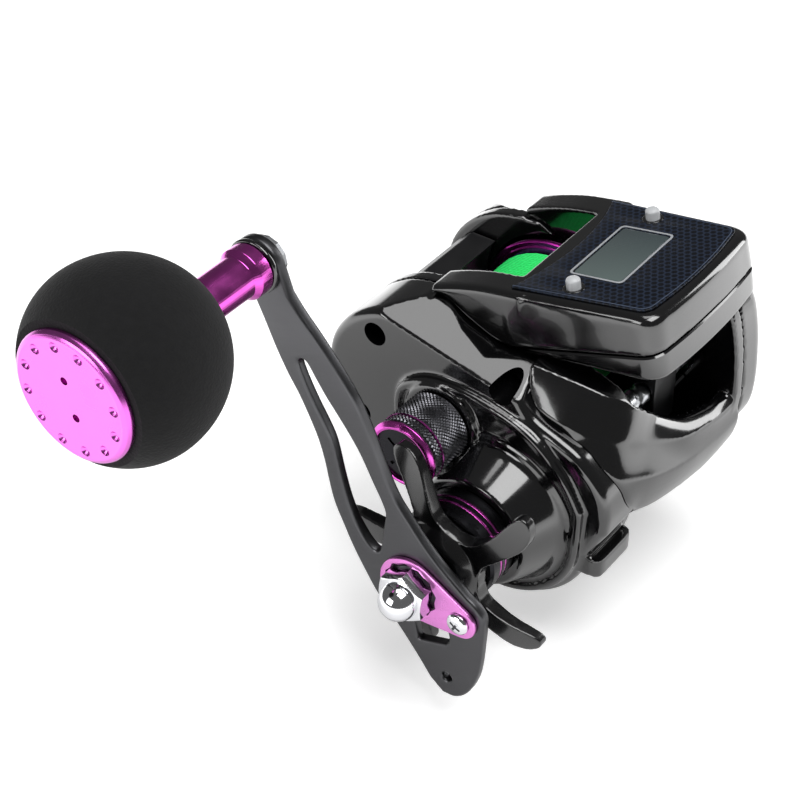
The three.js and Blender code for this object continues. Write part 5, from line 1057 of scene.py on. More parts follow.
def retainer():
    direction = math.atan2(PLATE_SCREW[1], PLATE_SCREW[0])
    flank = math.acos((PLATE_RADIUS - PLATE_TIP_RADIUS) / math.hypot(*PLATE_SCREW))
    outline = (arc((0, 0), PLATE_RADIUS, direction + flank, direction + TURN - flank, 40)
               + arc(PLATE_SCREW, PLATE_TIP_RADIUS, direction - flank, direction + flank, 20))
    teeth = [polar((0, 0), NUT_CORNER + (0.45 if i % 2 else -0.05) + GAP, TURN * i / PLATE_TEETH)
             for i in range(PLATE_TEETH)]
    strap = plate("strap", outline, [soften(teeth, 0.15, 2), circle(PLATE_SCREW, SCREW_BORE, 16)],
                  ARM_FACE + GAP, ARM_FACE + GAP + PLATE_THICKNESS, 0.22, HANDLE, 2)
    finish_piece(strap, "nut_retainer", "crank", "pinkPlate", "retainer_plate", 25)
    seat = ARM_FACE + GAP * 2 + PLATE_THICKNESS
    head = [(0, ARM_BACK + GAP), (1.1, ARM_BACK + GAP), (1.1, seat), (2.45, seat),
            (2.45, seat + 0.45), (2.1, seat + 0.85), (1.3, seat + 1.15), (0, seat + 1.3)]
    screw = lathe("screw", soften(head, 0.12, 3, closed=False), PLATE_SCREW, HANDLE, 48)
    screw = cut(screw, *cross_slot(PLATE_SCREW, seat + 0.5, seat + 2, 2.6, 0.55, HANDLE))
    finish_piece(screw, "retainer_screw_head", "crank", "chrome", "retainer_screw")


def cross_slot(centre, start, end, length, width, frame, angle=0.6):
    """Two crossed cutters for a screw's drive."""
    tools = []
    for turn in (angle, angle + math.pi / 2):
        along = (math.cos(turn) * length / 2, math.sin(turn) * length / 2)
        side = (-math.sin(turn) * width / 2, math.cos(turn) * width / 2)
        ring = [(centre[0] + a * along[0] + b * side[0], centre[1] + a * along[1] + b * side[1])
                for a, b in ((-1, -1), (1, -1), (1, 1), (-1, 1))]
        tools.append(prism("tool", ring, start, end, frame))
    return tools


def cap_nut():
    base = ARM_FACE + GAP
    hex_end = base + NUT_HEIGHT
    hexagon = prism("nut", circle((0, 0), NUT_CORNER, 6), base, hex_end, HANDLE)
    cone = lathe("tool", [
        (0, base - OVERRUN), (NUT_CORNER + 2, base - OVERRUN), (NUT_CORNER + 2, hex_end - 1.6),
        (NUT_FLATS / 2 - 0.3, hex_end + 0.15), (0, hex_end + 0.15)], (0, 0), HANDLE, 96)
    rise = [(DOME_RADIUS * math.cos(a), hex_end + 0.2 + DOME_HEIGHT * math.sin(a))
            for a in quarter(14)]
    dome = lathe("dome", [(0, base + 1), (DOME_RADIUS * 0.97, base + 1), *rise],
                 (0, 0), HANDLE, 96)
    nut = join(boolean(hexagon, cone, "INTERSECT"), dome)
    nut = cut(nut, disc(THREAD_RADIUS + GAP, base - OVERRUN, hex_end - 0.5, (0, 0), HANDLE))
    finish_piece(bevel(nut, 0.12, 2, 35), "domed_nut", "crank", "chrome", "handle_nut", 35)


# Star drag, its collar and the spacer under the arm

STAR_START = 49.4
STAR_THICKNESS = 3.4
STAR_HUB_RADIUS = 10
STAR_HUB_LENGTH = 6
STAR_REACH = 26.3
STAR_ARMS = 5
STAR_BEND = 2.6
STAR_SWEEP = 0.17
STAR_FIRST = math.radians(34)
STAR_HALF_WIDTH = 3.6
STAR_CELL = 0.24
COLLAR_START = 41.1
COLLAR_LENGTH = 8.2
COLLAR_RADIUS = 10.9
COLLAR_RINGS = (43.5, 45.1)
COLLAR_RING_WIDTH = 0.75
COLLAR_RING_DEPTH = 0.2
SPACER_RADIUS = 6.9
SPACER_START = 56.1
SPACER_END = 57.9

# Along one arm, as shares of its reach and of its half width
STAR_STATIONS = [(0.42, 0.78), (0.55, 0.68), (0.7, 0.74), (0.82, 0.84), (0.91, 0.8),
                 (0.97, 0.55), (1.0, 0.0)]


def star_outline():
    """Five swept arms with a round hollow between each pair."""
    points = []
    for i in range(STAR_ARMS):
        angle = STAR_FIRST + TURN * i / STAR_ARMS
        for side in (-1, 1):
            stations = STAR_STATIONS if side < 0 else STAR_STATIONS[-2::-1]
            for reach, width in stations:
                centre = polar((0, 0), STAR_REACH * reach, angle + STAR_SWEEP * reach * reach)
                points.append(polar(centre, STAR_HALF_WIDTH * width * side, angle + math.pi / 2))
        points.append(polar((0, 0), STAR_HUB_RADIUS * 0.97, angle + TURN / STAR_ARMS / 2 + 0.02))
    return smooth_ring(points, 6)


def star_drag():
    outline = [(x + DRIVE[0], y + DRIVE[1]) for x, y in star_outline()]
    middle = STAR_START + STAR_THICKNESS / 2
    face = STAR_START + STAR_THICKNESS
    end = STAR_START + STAR_HUB_LENGTH
    hub = lathe("hub", soften([
        (0, STAR_START), (STAR_HUB_RADIUS, STAR_START), (STAR_HUB_RADIUS, STAR_START + 3.3),
        (STAR_HUB_RADIUS * 0.76, end - 0.3), (STAR_HUB_RADIUS * 0.7, end), (0, end)],
        0.8, closed=False), DRIVE)
    arms = prism("arms", outline, STAR_START, face)
    star = moulded(merge("star", arms, hub), STAR_CELL, 10)

    def bend(x, y, z):
        reach = min(math.hypot(x - DRIVE[0], y - DRIVE[1]) / STAR_REACH, 1)
        thin = 1 - 0.35 * max(reach - 0.55, 0) / 0.45
        if z < face + 0.2:
            z = middle + (z - middle) * thin
        return x, y, z - STAR_BEND * reach ** 3 + 0.25 * (1 - thin)

    warp(star, REEL, bend)
    star = cut(star, disc(THREAD_RADIUS + GAP, STAR_START - 4, end + OVERRUN, DRIVE))
    finish_piece(star, "star_wheel", "star", "moulded", "star_drag", 60)


def drag_collar():
    end = COLLAR_START + COLLAR_LENGTH
    floor_radius = COLLAR_RADIUS - COLLAR_RING_DEPTH
    profile = [(THREAD_RADIUS + GAP, COLLAR_START), (COLLAR_RADIUS, COLLAR_START)]
    for start in COLLAR_RINGS:
        stop = start + COLLAR_RING_WIDTH
        profile += [(COLLAR_RADIUS, start), (floor_radius, start + 0.08),
                    (floor_radius, stop - 0.08), (COLLAR_RADIUS, stop)]
    profile += [(COLLAR_RADIUS, end - 1.2), (COLLAR_RADIUS - 0.5, end - 0.5),
                (COLLAR_RADIUS * 0.88, end - 0.2), (THREAD_RADIUS + GAP, end - 0.2)]
    collar = lathe("collar", profile, DRIVE)
    finish_piece(collar, "drag_sleeve", "star", "satinMetal", "drag_collar", 25)
    for i, start in enumerate(COLLAR_RINGS):
        profile = band(floor_radius - 0.15, COLLAR_RADIUS - 0.06, start + 0.06,
                       start + COLLAR_RING_WIDTH - 0.06)
        inlay = lathe("inlay", soften(profile, 0.1), DRIVE)
        finish_piece(inlay, f"drag_sleeve_ring_{i + 1}", "star", "pinkGloss")


def arm_spacer():
    profile = band(THREAD_RADIUS + GAP, SPACER_RADIUS, SPACER_START, SPACER_END)
    spacer = lathe("spacer", soften(profile, 0.3), DRIVE, steps=64)
    finish_piece(spacer, "arm_washer", "crank", "satinMetal", "arm_spacer")


# Cast control cap: diamond knurl, a pink inlay and a pink bevelled rim

CAP_RADIUS = 7.7
CAP_START = 33.6
CAP_END = 46.6
CAP_WALL = 1.4
KNURL_PITCH = 0.92
KNURL_DEPTH = 0.34
KNURL_TEETH = round(TURN * CAP_RADIUS / KNURL_PITCH)
KNURL_SAMPLES = 6
CAP_INLAY = (42.2, 42.6)
CAP_RIM_START = 45.3


def knurl(angle, z):
    """Radius of a diamond knurl: the lower of two crossing rows of ridges."""
    along, across = KNURL_TEETH * angle / TURN, z / KNURL_PITCH
    rows = [abs((place % 1) * 2 - 1) for place in (along + across, along - across)]
    return CAP_RADIUS - KNURL_DEPTH * (1 - min(rows))


def knurled(start, end, inner):
    """A ring with a knurled outside."""
    steps = KNURL_TEETH * KNURL_SAMPLES
    rows = round((end - start) / KNURL_PITCH * KNURL_SAMPLES)
    heights = [start + 0.12 + (end - start - 0.24) * k / rows for k in range(rows + 1)]
    side = CAP_RADIUS - KNURL_DEPTH * 1.5
    rings = []
    for i in range(steps):
        angle = TURN * i / steps
        profile = [(inner, start), (side, start), *[(knurl(angle, z), z) for z in heights],
                   (side, end), (inner, end)]
        rings.append([(*polar((0, 0), radius, angle), z) for radius, z in profile])
    return loft("knurled", rings, closed=True)


def cast_cap():
    inner = CAP_RADIUS - CAP_WALL
    bottom = band(inner - 0.05, CAP_RADIUS - 0.25, CAP_START, CAP_START + 0.35)
    top = band(inner, CAP_RADIUS - 0.08, CAP_RIM_START - 0.52, CAP_RIM_START - 0.02)
    bands = merge(
        "bands", knurled(CAP_START + 0.3, CAP_INLAY[0], inner),
        knurled(CAP_INLAY[1], CAP_RIM_START - 0.5, inner),
        lathe("bottom", soften(bottom, 0.1)), lathe("top", soften(top, 0.1)))
    finish_piece(bands, "knurled_cap", "cast_control", "knurled", "cast_cap", 20)
    inlay = lathe("inlay", band(inner, CAP_RADIUS - 0.05, *CAP_INLAY))
    finish_piece(inlay, "cap_inlay", "cast_control", "pinkGloss")
    face = CAP_END - 0.7
    core = lathe("core", soften([
        (0, CAP_END - 2.6), (inner, CAP_END - 2.6), (inner + 0.1, face), (2.2, face),
        (1.7, face - 0.5), (0, face - 0.5)], 0.2, closed=False))
    core = cut(core, *cross_slot((0, 0), face - 0.4, face + 2, 9.0, 0.7, REEL, 0.9))
    finish_piece(core, "cap_end", "cast_control", "satinMetal")
    rim = lathe("rim", soften([
        (inner, CAP_RIM_START), (CAP_RADIUS + 0.1, CAP_RIM_START),
        (CAP_RADIUS + 0.1, CAP_RIM_START + 0.5), (inner + 0.55, CAP_END), (inner, CAP_END - 0.1)],
        0.12))
    finish_piece(rim, "cap_rim", "cast_control", "pinkGloss", "cast_cap_ring", 20)


# Spool and its line

SPOOL_RADIUS = 19
SPOOL_HALF = 12.5
FLANGE_THICKNESS = 1.7
ARBOR_RADIUS = 9
SHAFT_RADIUS = 2
LINE_CORE_RADIUS = 15.4
LINE_DIAMETER = 0.8
LINE_LIFT = 0.55
WINDING_LOOPS = 24


def spool():
    rim, face, inside = SPOOL_RADIUS, SPOOL_HALF, SPOOL_HALF - FLANGE_THICKNESS
    side = [
        (SHAFT_RADIUS + GAP, face - 1), (4.3, face - 1), (4.5, 1.7), (7.3, 1.5), (7.5, face - 0.3),
        (8.6, face), (15.2, face), (15.6, face - 0.35), (17.2, face - 0.35), (17.6, face),
        (rim - 0.4, face), (rim, face - 0.4), (rim, face - 1.1), (rim - 0.35, face - 1.35),
        (rim - 1.2, face - 1.4), (rim - 1.5, inside), (ARBOR_RADIUS + 0.3, inside),
        (ARBOR_RADIUS, inside - 0.3),
    ]
    profile = side + [(r, -z) for r, z in reversed(side)]
    body = lathe("spool", soften(profile, 0.08, 2))
    finish_piece(body, "spool_body", "spool_assembly", "spoolPink", "spool", 20)


def wound_line():
    half = SPOOL_HALF - FLANGE_THICKNESS - GAP - LINE_DIAMETER / 2
    layer = through_tree("layer", winding_tree(), {
        "Loops": float(WINDING_LOOPS), "Radius": LINE_CORE_RADIUS + LINE_LIFT + LINE_DIAMETER / 2,
        "Length": 2 * half, "Line Radius": LINE_DIAMETER / 2, "Finish": FINISHES["lineGreen"]},
        REEL @ shift(0, 0, -half))
    finish_piece(layer, "top_turns", "spool_assembly", None, "line_top_layer", 80, "lineGreen")
    reach = half + LINE_DIAMETER / 2
    steps = 8 * WINDING_LOOPS
    outer = []
    for i in range(steps + 1):
        lump = abs(math.sin(math.pi * WINDING_LOOPS * i / steps)) ** 0.7
        outer.append((LINE_CORE_RADIUS + 0.2 * lump, -reach + 2 * reach * i / steps))
    profile = [(ARBOR_RADIUS + GAP, -reach), *outer, (ARBOR_RADIUS + GAP, reach)]
    core = lathe("core", profile, steps=96)
    finish_piece(core, "lower_turns", "spool_assembly", "lineGreen", "line_core", 60)


# Counter unit: two gloss shells, a printed label, a display and two buttons

COUNTER_FRONT = 20.4
COUNTER_REAR = 14.6
COUNTER_HALF_WIDTH = 21.8
COUNTER_DEPTH = 14.4
COUNTER_WALL = 1.8
COUNTER_TAPER = 1.6
COUNTER_BOW = 1.4
COUNTER_CORNER = 4.2
COUNTER_SHOULDER = 1.9
COUNTER_HOLLOW = 3.4
ROOM_CORNER = 2.5
ARM_REACH = 33.4
ARM_INNER = 14.2
WINDOW_RADIUS = 21.8
PARTING_REAR = 0.875
PARTING_FRONT = 0.56
BOTTOM_REAR = 0.915
PARTING_GROOVE = 0.3
LABEL_THICKNESS = 0.4
LABEL_MARGIN = 2.5
LABEL_CORNER = 2.6
DISPLAY_LENGTH = 11
DISPLAY_WIDTH = 19.6
DISPLAY_CORNER = 0.9
DISPLAY_LINE = 0.45
BUTTON_RADIUS = 1.9
BUTTON_RISE = 2.6
KEY_RADIUS = 1.5
KEY_CROWN = 0.9
BUTTON_BACK = 1.8
BUTTON_SIDE = 15.2
BATTERY_RADIUS = 9
BATTERY_PLACE = (4, 0)
BATTERY_THICKNESS = 1.6
DOOR_GROOVE = (7.2, 7.7)
BASE_EDGE = 1.4
COIN_SLOT = (11, 1.5)
COUNTER_ARM_EDGE = 1.25

# The counter's rear arms from the side, as shares of their reach back and of its depth
ARM_TOP_SHARES = [(0.3, 0), (0.45, 0), (0.64, -0.015), (0.83, -0.08), (0.985, -0.165)]
ARM_UNDER_SHARES = [(1, -0.3), (0.89, -0.32), (0.73, -0.6), (0.53, -0.865), (0.35, -0.875)]


def counter_plan(margin, corner=COUNTER_CORNER, rear=COUNTER_REAR):
    """The counter seen from above: tapered sides, round corners and a bowed front."""
    half = COUNTER_HALF_WIDTH - margin
    front = COUNTER_FRONT - margin
    front_half = half - COUNTER_TAPER
    bow = [(front - COUNTER_BOW * s * s, front_half * s) for s in (0.5, 0.25, 0, -0.25, -0.5)]
    ring = soften([(-rear, half), (front - COUNTER_BOW, front_half), *bow,
                   (front - COUNTER_BOW, -front_half), (-rear, -half)], corner, 8, closed=False)
    return ring + [(-rear, -half * s) for s in (0.75, 0.5, 0.25, 0, -0.25, -0.5, -0.75)]


def label_plan(margin, corner=LABEL_CORNER):
    """The same outline with the rear edge drawn in by a hollow."""
    ring = counter_plan(margin, corner)
    half = COUNTER_HALF_WIDTH - margin
    rear = -COUNTER_REAR + 0.7
    front = [p for p in ring if p[0] > -COUNTER_REAR + 0.01]
    edge = [(rear + COUNTER_HOLLOW * (1 - s * s), s * half)
            for s in [-1 + i / 12 for i in range(24)]]
    return [(rear, half)] + front + edge


def run_height(x, rear, front):
    share = (x + COUNTER_REAR) / (COUNTER_REAR + COUNTER_FRONT)
    return -COUNTER_DEPTH * (rear + (front - rear) * share)


def parting(x, lift):
    """The height of the line where the counter's shells meet, moved by a lift."""
    return run_height(x, PARTING_REAR, PARTING_FRONT) + lift


def shell_rings(levels, rear=COUNTER_REAR):
    """Rings for a shell: each level gives a margin and a height for every point."""
    return [[(x, height(x), z) for x, z in counter_plan(margin, rear=rear)]
            for margin, height in levels]


def rounded_slot(length, width, corner, centre=(0, 0)):
    half, side = length / 2, width / 2
    ring = soften([(-half, -side), (half, -side), (half, side), (-half, side)], corner, 5)
    return [(x + centre[0], y + centre[1]) for x, y in ring]


def display_outline(grow, corner=0):
    return rounded_slot(DISPLAY_LENGTH + grow, DISPLAY_WIDTH + grow, DISPLAY_CORNER + corner)


def button_place(side):
    return (-BUTTON_BACK, side * BUTTON_SIDE)


def upper_shell():
    levels = [(PARTING_GROOVE, lambda x: parting(x, GAP)), (0, lambda x: parting(x, GAP + 0.35))]
    for a in quarter(6):
        margin = 0.3 + COUNTER_SHOULDER * (1 - math.cos(a))
        levels.append((margin, lambda x, a=a: -COUNTER_SHOULDER * (1 - math.sin(a))))
    outline = []
    for shares in (ARM_TOP_SHARES, ARM_UNDER_SHARES):
        outline += smooth_run([(-x * ARM_REACH, y * COUNTER_DEPTH) for x, y in shares], 6)
    arms = [pillow("arm", outline, side * ARM_INNER, side * (COUNTER_HALF_WIDTH - 0.3),
                   COUNTER_ARM_EDGE, COUNTER) for side in (1, -1)]
    shell = merge("shell", loft("block", shell_rings(levels), COUNTER), *arms)
    room = counter_plan(COUNTER_WALL + 0.6, ROOM_CORNER,
                        COUNTER_REAR - COUNTER_HOLLOW - COUNTER_WALL * 1.5)
    through = (-COUNTER_WALL - OVERRUN, OVERRUN)
    shell = cut(
        moulded(shell, HOUSING_CELL, 7),
        prism("tool", room, -COUNTER_DEPTH - OVERRUN, -COUNTER_WALL, LABEL_PLAN),
        disc(WINDOW_RADIUS, -ARM_INNER - 0.4, ARM_INNER + 0.4, steps=ROUND),
        prism("tool", display_outline(GAP * 2), *through, LABEL_PLAN),
        *[disc(BUTTON_RADIUS + GAP * 2, *through, button_place(side), LABEL_PLAN)
          for side in (1, -1)])
    finish_piece(shell, "counter_case_top", "frame", "glossBlack", "counter_upper_shell", 32)


def lower_shell():
    def bottom(x, lift):
        return run_height(x, BOTTOM_REAR, 1) + lift

    rear = COUNTER_REAR - COUNTER_HOLLOW
    levels = []
    for a in quarter(5):
        lift = BASE_EDGE * (1 - math.cos(a))
        levels.append((BASE_EDGE * (1 - math.sin(a)), lambda x, lift=lift: bottom(x, lift)))
    levels += [(0, lambda x: parting(x, -0.45)), (PARTING_GROOVE, lambda x: parting(x, -GAP))]
    shell = loft("shell", shell_rings(levels, rear), COUNTER)
    room = counter_plan(COUNTER_WALL + 0.4, ROOM_CORNER, rear - COUNTER_WALL)
    hollow = loft("tool", [[(x, bottom(x, COUNTER_WALL), z) for x, z in room],
                           [(x, OVERRUN, z) for x, z in room]], COUNTER)
    hole = disc(BATTERY_RADIUS + GAP * 3, -COUNTER_DEPTH - OVERRUN, 0, BATTERY_PLACE,
                LABEL_PLAN, ROUND)
    finish_piece(cut(shell, hollow, hole), "counter_case_base", "frame", "glossBlack",
                 "counter_lower_shell", 32)


def label():
    holes = [display_outline(GAP)]
    holes += [circle(button_place(side), BUTTON_RADIUS + GAP) for side in (1, -1)]
    film = plate("film", label_plan(LABEL_MARGIN), holes, 0.05, LABEL_THICKNESS + 0.05, 0.1,
                 LABEL_PLAN, 2)
    finish_piece(film, "honeycomb_label", "frame", "labelFilm", "counter_label")
    line = cut(prism("line", label_plan(LABEL_MARGIN + 0.45, LABEL_CORNER - 0.4),
                     LABEL_THICKNESS - 0.02, LABEL_THICKNESS + 0.08, LABEL_PLAN),
               prism("tool", label_plan(LABEL_MARGIN + 0.6, LABEL_CORNER - 0.5), 0, OVERRUN,
                     LABEL_PLAN))
    finish_piece(line, "label_outline", "frame", "outlineInk")
    border = plate("border", display_outline(DISPLAY_LINE * 2 + 0.5, 0.4),
                   [display_outline(0.5, 0.1)], LABEL_THICKNESS, LABEL_THICKNESS + 0.12, 0.02,
                   LABEL_PLAN, 1)
    finish_piece(border, "display_outline", "frame", "silverInk")


def display():
    pane = plate("pane", display_outline(-GAP, -0.1), [], -0.9, LABEL_THICKNESS - 0.05, 0.15,
                 LABEL_PLAN, 2)
    finish_piece(pane, "display_pane", "frame", "glass", "lcd_window")


def push_button(side, name, body, node):
    straight = LABEL_THICKNESS + BUTTON_RISE - KEY_CROWN
    crown = [(KEY_RADIUS * math.cos(a), straight + KEY_CROWN * math.sin(a)) for a in quarter(12)]
    profile = [(0, -2.2), (BUTTON_RADIUS, -2.2), (BUTTON_RADIUS, -1.2), (KEY_RADIUS, -0.9), *crown]
    key = lathe("key", profile, button_place(side), LABEL_PLAN, 64)
    finish_piece(key, name, body, "buttonResin", node, 40)
    profile = [(KEY_RADIUS + 0.12, -0.1), (BUTTON_RADIUS + 0.35, -0.1),
               (BUTTON_RADIUS + 0.35, LABEL_THICKNESS + 0.16),
               (KEY_RADIUS + 0.12, LABEL_THICKNESS + 0.24)]
    collar = lathe("collar", soften(profile, 0.12), button_place(side), LABEL_PLAN, 64)
    finish_piece(collar, f"{name}_collar", "frame", "glossBlack")


def battery_door():
    bottom = -COUNTER_DEPTH * (BOTTOM_REAR + 1) / 2
    profile = soften(band(0, BATTERY_RADIUS, bottom, bottom + BATTERY_THICKNESS), 0.35,
                     closed=False)
    door = lathe("door", profile, BATTERY_PLACE, LABEL_PLAN)
    slot = prism("tool", rounded_slot(*COIN_SLOT, 0.7, BATTERY_PLACE), bottom - OVERRUN,
                 bottom + 0.9, LABEL_PLAN)
    groove = lathe("tool", band(*DOOR_GROOVE, bottom - OVERRUN, bottom + 0.35), BATTERY_PLACE,
                   LABEL_PLAN)
    finish_piece(cut(door, slot, groove), "battery_door", "battery_door", "satinBlack",
                 "battery_cap")


# Housings, drawn from outlines in the side view

REAR_REACH = 30.5
FRONT_REACH = 43.26
BODY_RISE = 21.2
BODY_DROP = 21.7
FLOOR_TOP = -19.8
WALL_INNER = 13.5
WALL_OUTER = 16.5
COVER_INNER = 16.8
CASE_FACE = 30.8
CASE_RADIUS = 22
RIDGE_FACE = 32.7
RIDGE_BEAD = 1.8
RIDGE_DEPTH = 1.1
BOSS_FACE = 41
BOSS_RADIUS = 17
BOSS_TOP_RADIUS = 12.3
PALM_FACE = 25.3
SHELL_WALL = 1.6
CASE_EDGE = 1.8
PALM_EDGE = 3.4
SEAM = 0.16
HOUSING_CELL = 0.42
COVER_CELL = 0.4
CREASE_HEIGHT = 15.2
CREASE_NORMAL = (0.214, 1, 0.367)
PALM_CREASE_NORMAL = (-0.06, 1, -0.6)
WELL_RADIUS = 2.7
WELL_SEAT = 20.8
COVER_WELLS = [(-0.59, 0.62), (0.3, 0.57), (-0.72, -0.42)]
FOOT_SCREW_SPACING = 22
SCREW_CORE = 1.4
YOKE_ANGLE = math.radians(38)
WORM_RADIUS = 2.4
WORM_START = -16.2
WORM_END = 19.2
WORM_RUN = 10.5
WORM_CELL = 0.25
WORM_PITCH = 5.6
WORM_GROOVE = 1.5
WORM_GROOVE_DEPTH = 0.5
WORM_EDGE = 0.35
PAD_DEPTH = 2.4
PAD_FRONT = 38.3
PAD_HEIGHT = 3.4

# Outlines from the side, as shares of the body's reach and of its rise or drop
CASE_REAR_SHARES = [
    (-0.37, 0.985), (-0.6, 0.9), (-0.81, 0.7), (-0.95, 0.42), (-1, 0.12), (-0.96, -0.2),
    (-0.8, -0.6), (-0.56, -0.86),
]
CASE_FRONT_SHARES = [
    (0.9, -0.6), (0.905, -0.38), (0.885, -0.18), (0.825, 0.01), (0.725, 0.19), (0.62, 0.285),
    (0.49, 0.385), (0.41, 0.53), (0.36, 0.72),
]
PALM_SHARES = [
    (-0.37, 0.985), (-0.6, 0.9), (-0.81, 0.7), (-0.95, 0.42), (-1, 0.12), (-0.97, -0.2),
    (-0.82, -0.58), (-0.58, -0.86), (-0.3, -0.985), (0.3, -0.985), (0.6, -0.985), (0.86, -0.8),
    (0.97, -0.55), (1, -0.22), (0.985, 0.3), (0.95, 0.68), (0.91, 0.86),
]
RIDGE_UPPER_SHARES = [
    (0.79, -0.38), (0.68, -0.03), (0.5, 0.29), (0.28, 0.43), (0.055, 0.475), (-0.17, 0.41),
    (-0.36, 0.2), (-0.4, -0.1), (-0.34, -0.52),
]

# The front skin's rows from the cheek to the palm wall, as sideways, forward, up: the lip's inner
# edge, its outer edge, the turn to the lower band, the lowest line in view and the end underneath
NOSE_ROWS = [
    [(24.6, 15.7, 17.0), (23.2, 21.7, 16.0), (21.7, 27.6, 14.8), (19.4, 32.8, 12.8),
     (15.4, 35.6, 9.6), (10.4, 36.6, 5.2), (6.4, 38.0, 2.2), (1.8, 39.6, -0.4),
     (-4, 40.6, -2.0), (-10, 41.2, -3.0), (-16.4, 41.6, -2.9)],
    [(27.4, 17.6, 9.6), (27.6, 22.0, 8.6), (27.0, 27.2, 7.5), (25.2, 32.4, 6.4),
     (21.2, 36.6, 5.0), (14.8, 38.6, 1.8), (9.0, 40.6, -0.8), (3.4, 42.2, -2.6),
     (-4, 42.9, -3.9), (-10, 43.1, -4.9), (-16.4, 43.2, -4.7)],
    [(27.6, 17.2, 6.4), (27.7, 22.6, 5.4), (27.7, 28.8, 4.0), (27.2, 34.2, 1.8),
     (25.0, 38.2, -1.8), (18.0, 41.0, -4.6), (10.6, 42.4, -6.8), (3.0, 43.2, -8.4),
     (-4, 43.4, -9.4), (-10, 43.5, -10.0), (-16.4, 43.5, -10)],
    [(27.3, 16.8, 4.0), (27.3, 22.2, 3.0), (27.2, 28.2, 1.2), (26.8, 33.4, -1.6),
     (24.0, 39.2, -7.4), (19.4, 39.8, -12.4), (13.6, 40.7, -14.4), (4, 41.6, -15.8),
     (-4, 42.0, -16.6), (-10, 42.2, -16.4), (-16.4, 42.2, -15.9)],
    [(26.8, 16.4, 2.4), (26.8, 21.6, 1.0), (26.6, 27.0, -1.2), (26.0, 31.0, -5.0),
     (22.6, 35.0, -13.0), (17.6, 34.0, -19.4), (11, 34.6, -21.2), (3, 35.4, -21.4),
     (-4, 36.0, -21.4), (-10, 36.4, -21.4), (-16.4, 36.6, -21.3)],
]

# How far the skin swells between one row and the next, and which way
NOSE_BULGES = [
    (0.25, (0.3, 0.6, 0.7)), (-0.3, (0.3, 0.9, 0.2)), (0.3, (0.2, 0.9, -0.4)), (0, (0, 0, 0)),
]
NOSE_STEPS = 5
NOSE_WALL = 2.2
NOSE_FLOOR = -20.5

# The palm wall's opening: the brake plate's seat and the step for the cover
PALM_BORE = [(0, -12.3), (19, -12.3), (19.6, -13.5), (19.6, -14.2), (20.3, -14.5),
             (20.3, -15.2), (21.3, -16.4), (21.8, -16.6), (21.8, -18), (0, -18)]


def body_point(share):
    return (share[0] * (FRONT_REACH if share[0] > 0 else REAR_REACH),
            share[1] * (BODY_RISE if share[1] > 0 else BODY_DROP))


def body_run(shares):
    return smooth_run([body_point(share) for share in shares], 6)


def above_crease(drop, face, normal):
    """The room above the crease that ends a cover's face, lowered by a drop."""
    return half_space((0, CREASE_HEIGHT - drop, face), normal)


def from_counter(x, y):
    along, across = math.cos(COUNTER_TILT), math.sin(COUNTER_TILT)
    return (COUNTER_PLACE[0] + x * along - y * across, COUNTER_PLACE[1] + x * across + y * along)


def under_counter():
    """The line just below the counter's rear arms, from the front to the rear."""
    *arms, (end, _) = ARM_UNDER_SHARES
    line = [from_counter(-x * ARM_REACH, y * COUNTER_DEPTH - 0.3) for x, y in arms]
    line.append(from_counter(-end * ARM_REACH, -COUNTER_DEPTH * BOTTOM_REAR - 0.6))
    return line[::-1]


def case_outline():
    return (body_run(CASE_REAR_SHARES) + arc(DRIVE, CASE_RADIUS, math.pi * 1.18, TURN - 0.14, 64)
            + body_run(CASE_FRONT_SHARES) + under_counter())


def palm_outline():
    return body_run(PALM_SHARES) + under_counter()


def ridge_outline():
    return (arc(DRIVE, CASE_RADIUS - 1.6, math.pi * 1.2, TURN - 0.1, 64)
            + body_run(RIDGE_UPPER_SHARES))


def nose():
    """The skin under the level wind and round into the cheek, thick enough to stand alone."""
    rings = []
    for line in zip(*[smooth_run(row, 6) for row in NOSE_ROWS]):
        station = []
        for start, end, (bulge, way) in zip(line, line[1:], NOSE_BULGES):
            for i in range(NOSE_STEPS):
                s = i / NOSE_STEPS
                swell = Vector(way) * bulge * 4 * s * (1 - s)
                station.append(Vector(start).lerp(Vector(end), s) + swell)
        station.append(Vector(line[-1]))
        outer = [(f, u, h) for h, f, u in station]
        lead = max(0, min(1, (station[0][0] - 12) / 6))
        inner = []
        for f, u, h in outer:
            flat = (f - NOSE_WALL, max(u, NOSE_FLOOR), min(h, WALL_OUTER - 0.4))
            side = (f - 0.3, u - 0.3, WALL_OUTER - 0.6)
            inner.append(tuple(a * (1 - lead) + b * lead for a, b in zip(flat, side)))
        rings.append(outer + inner[::-1])
    return loft("nose", rings)


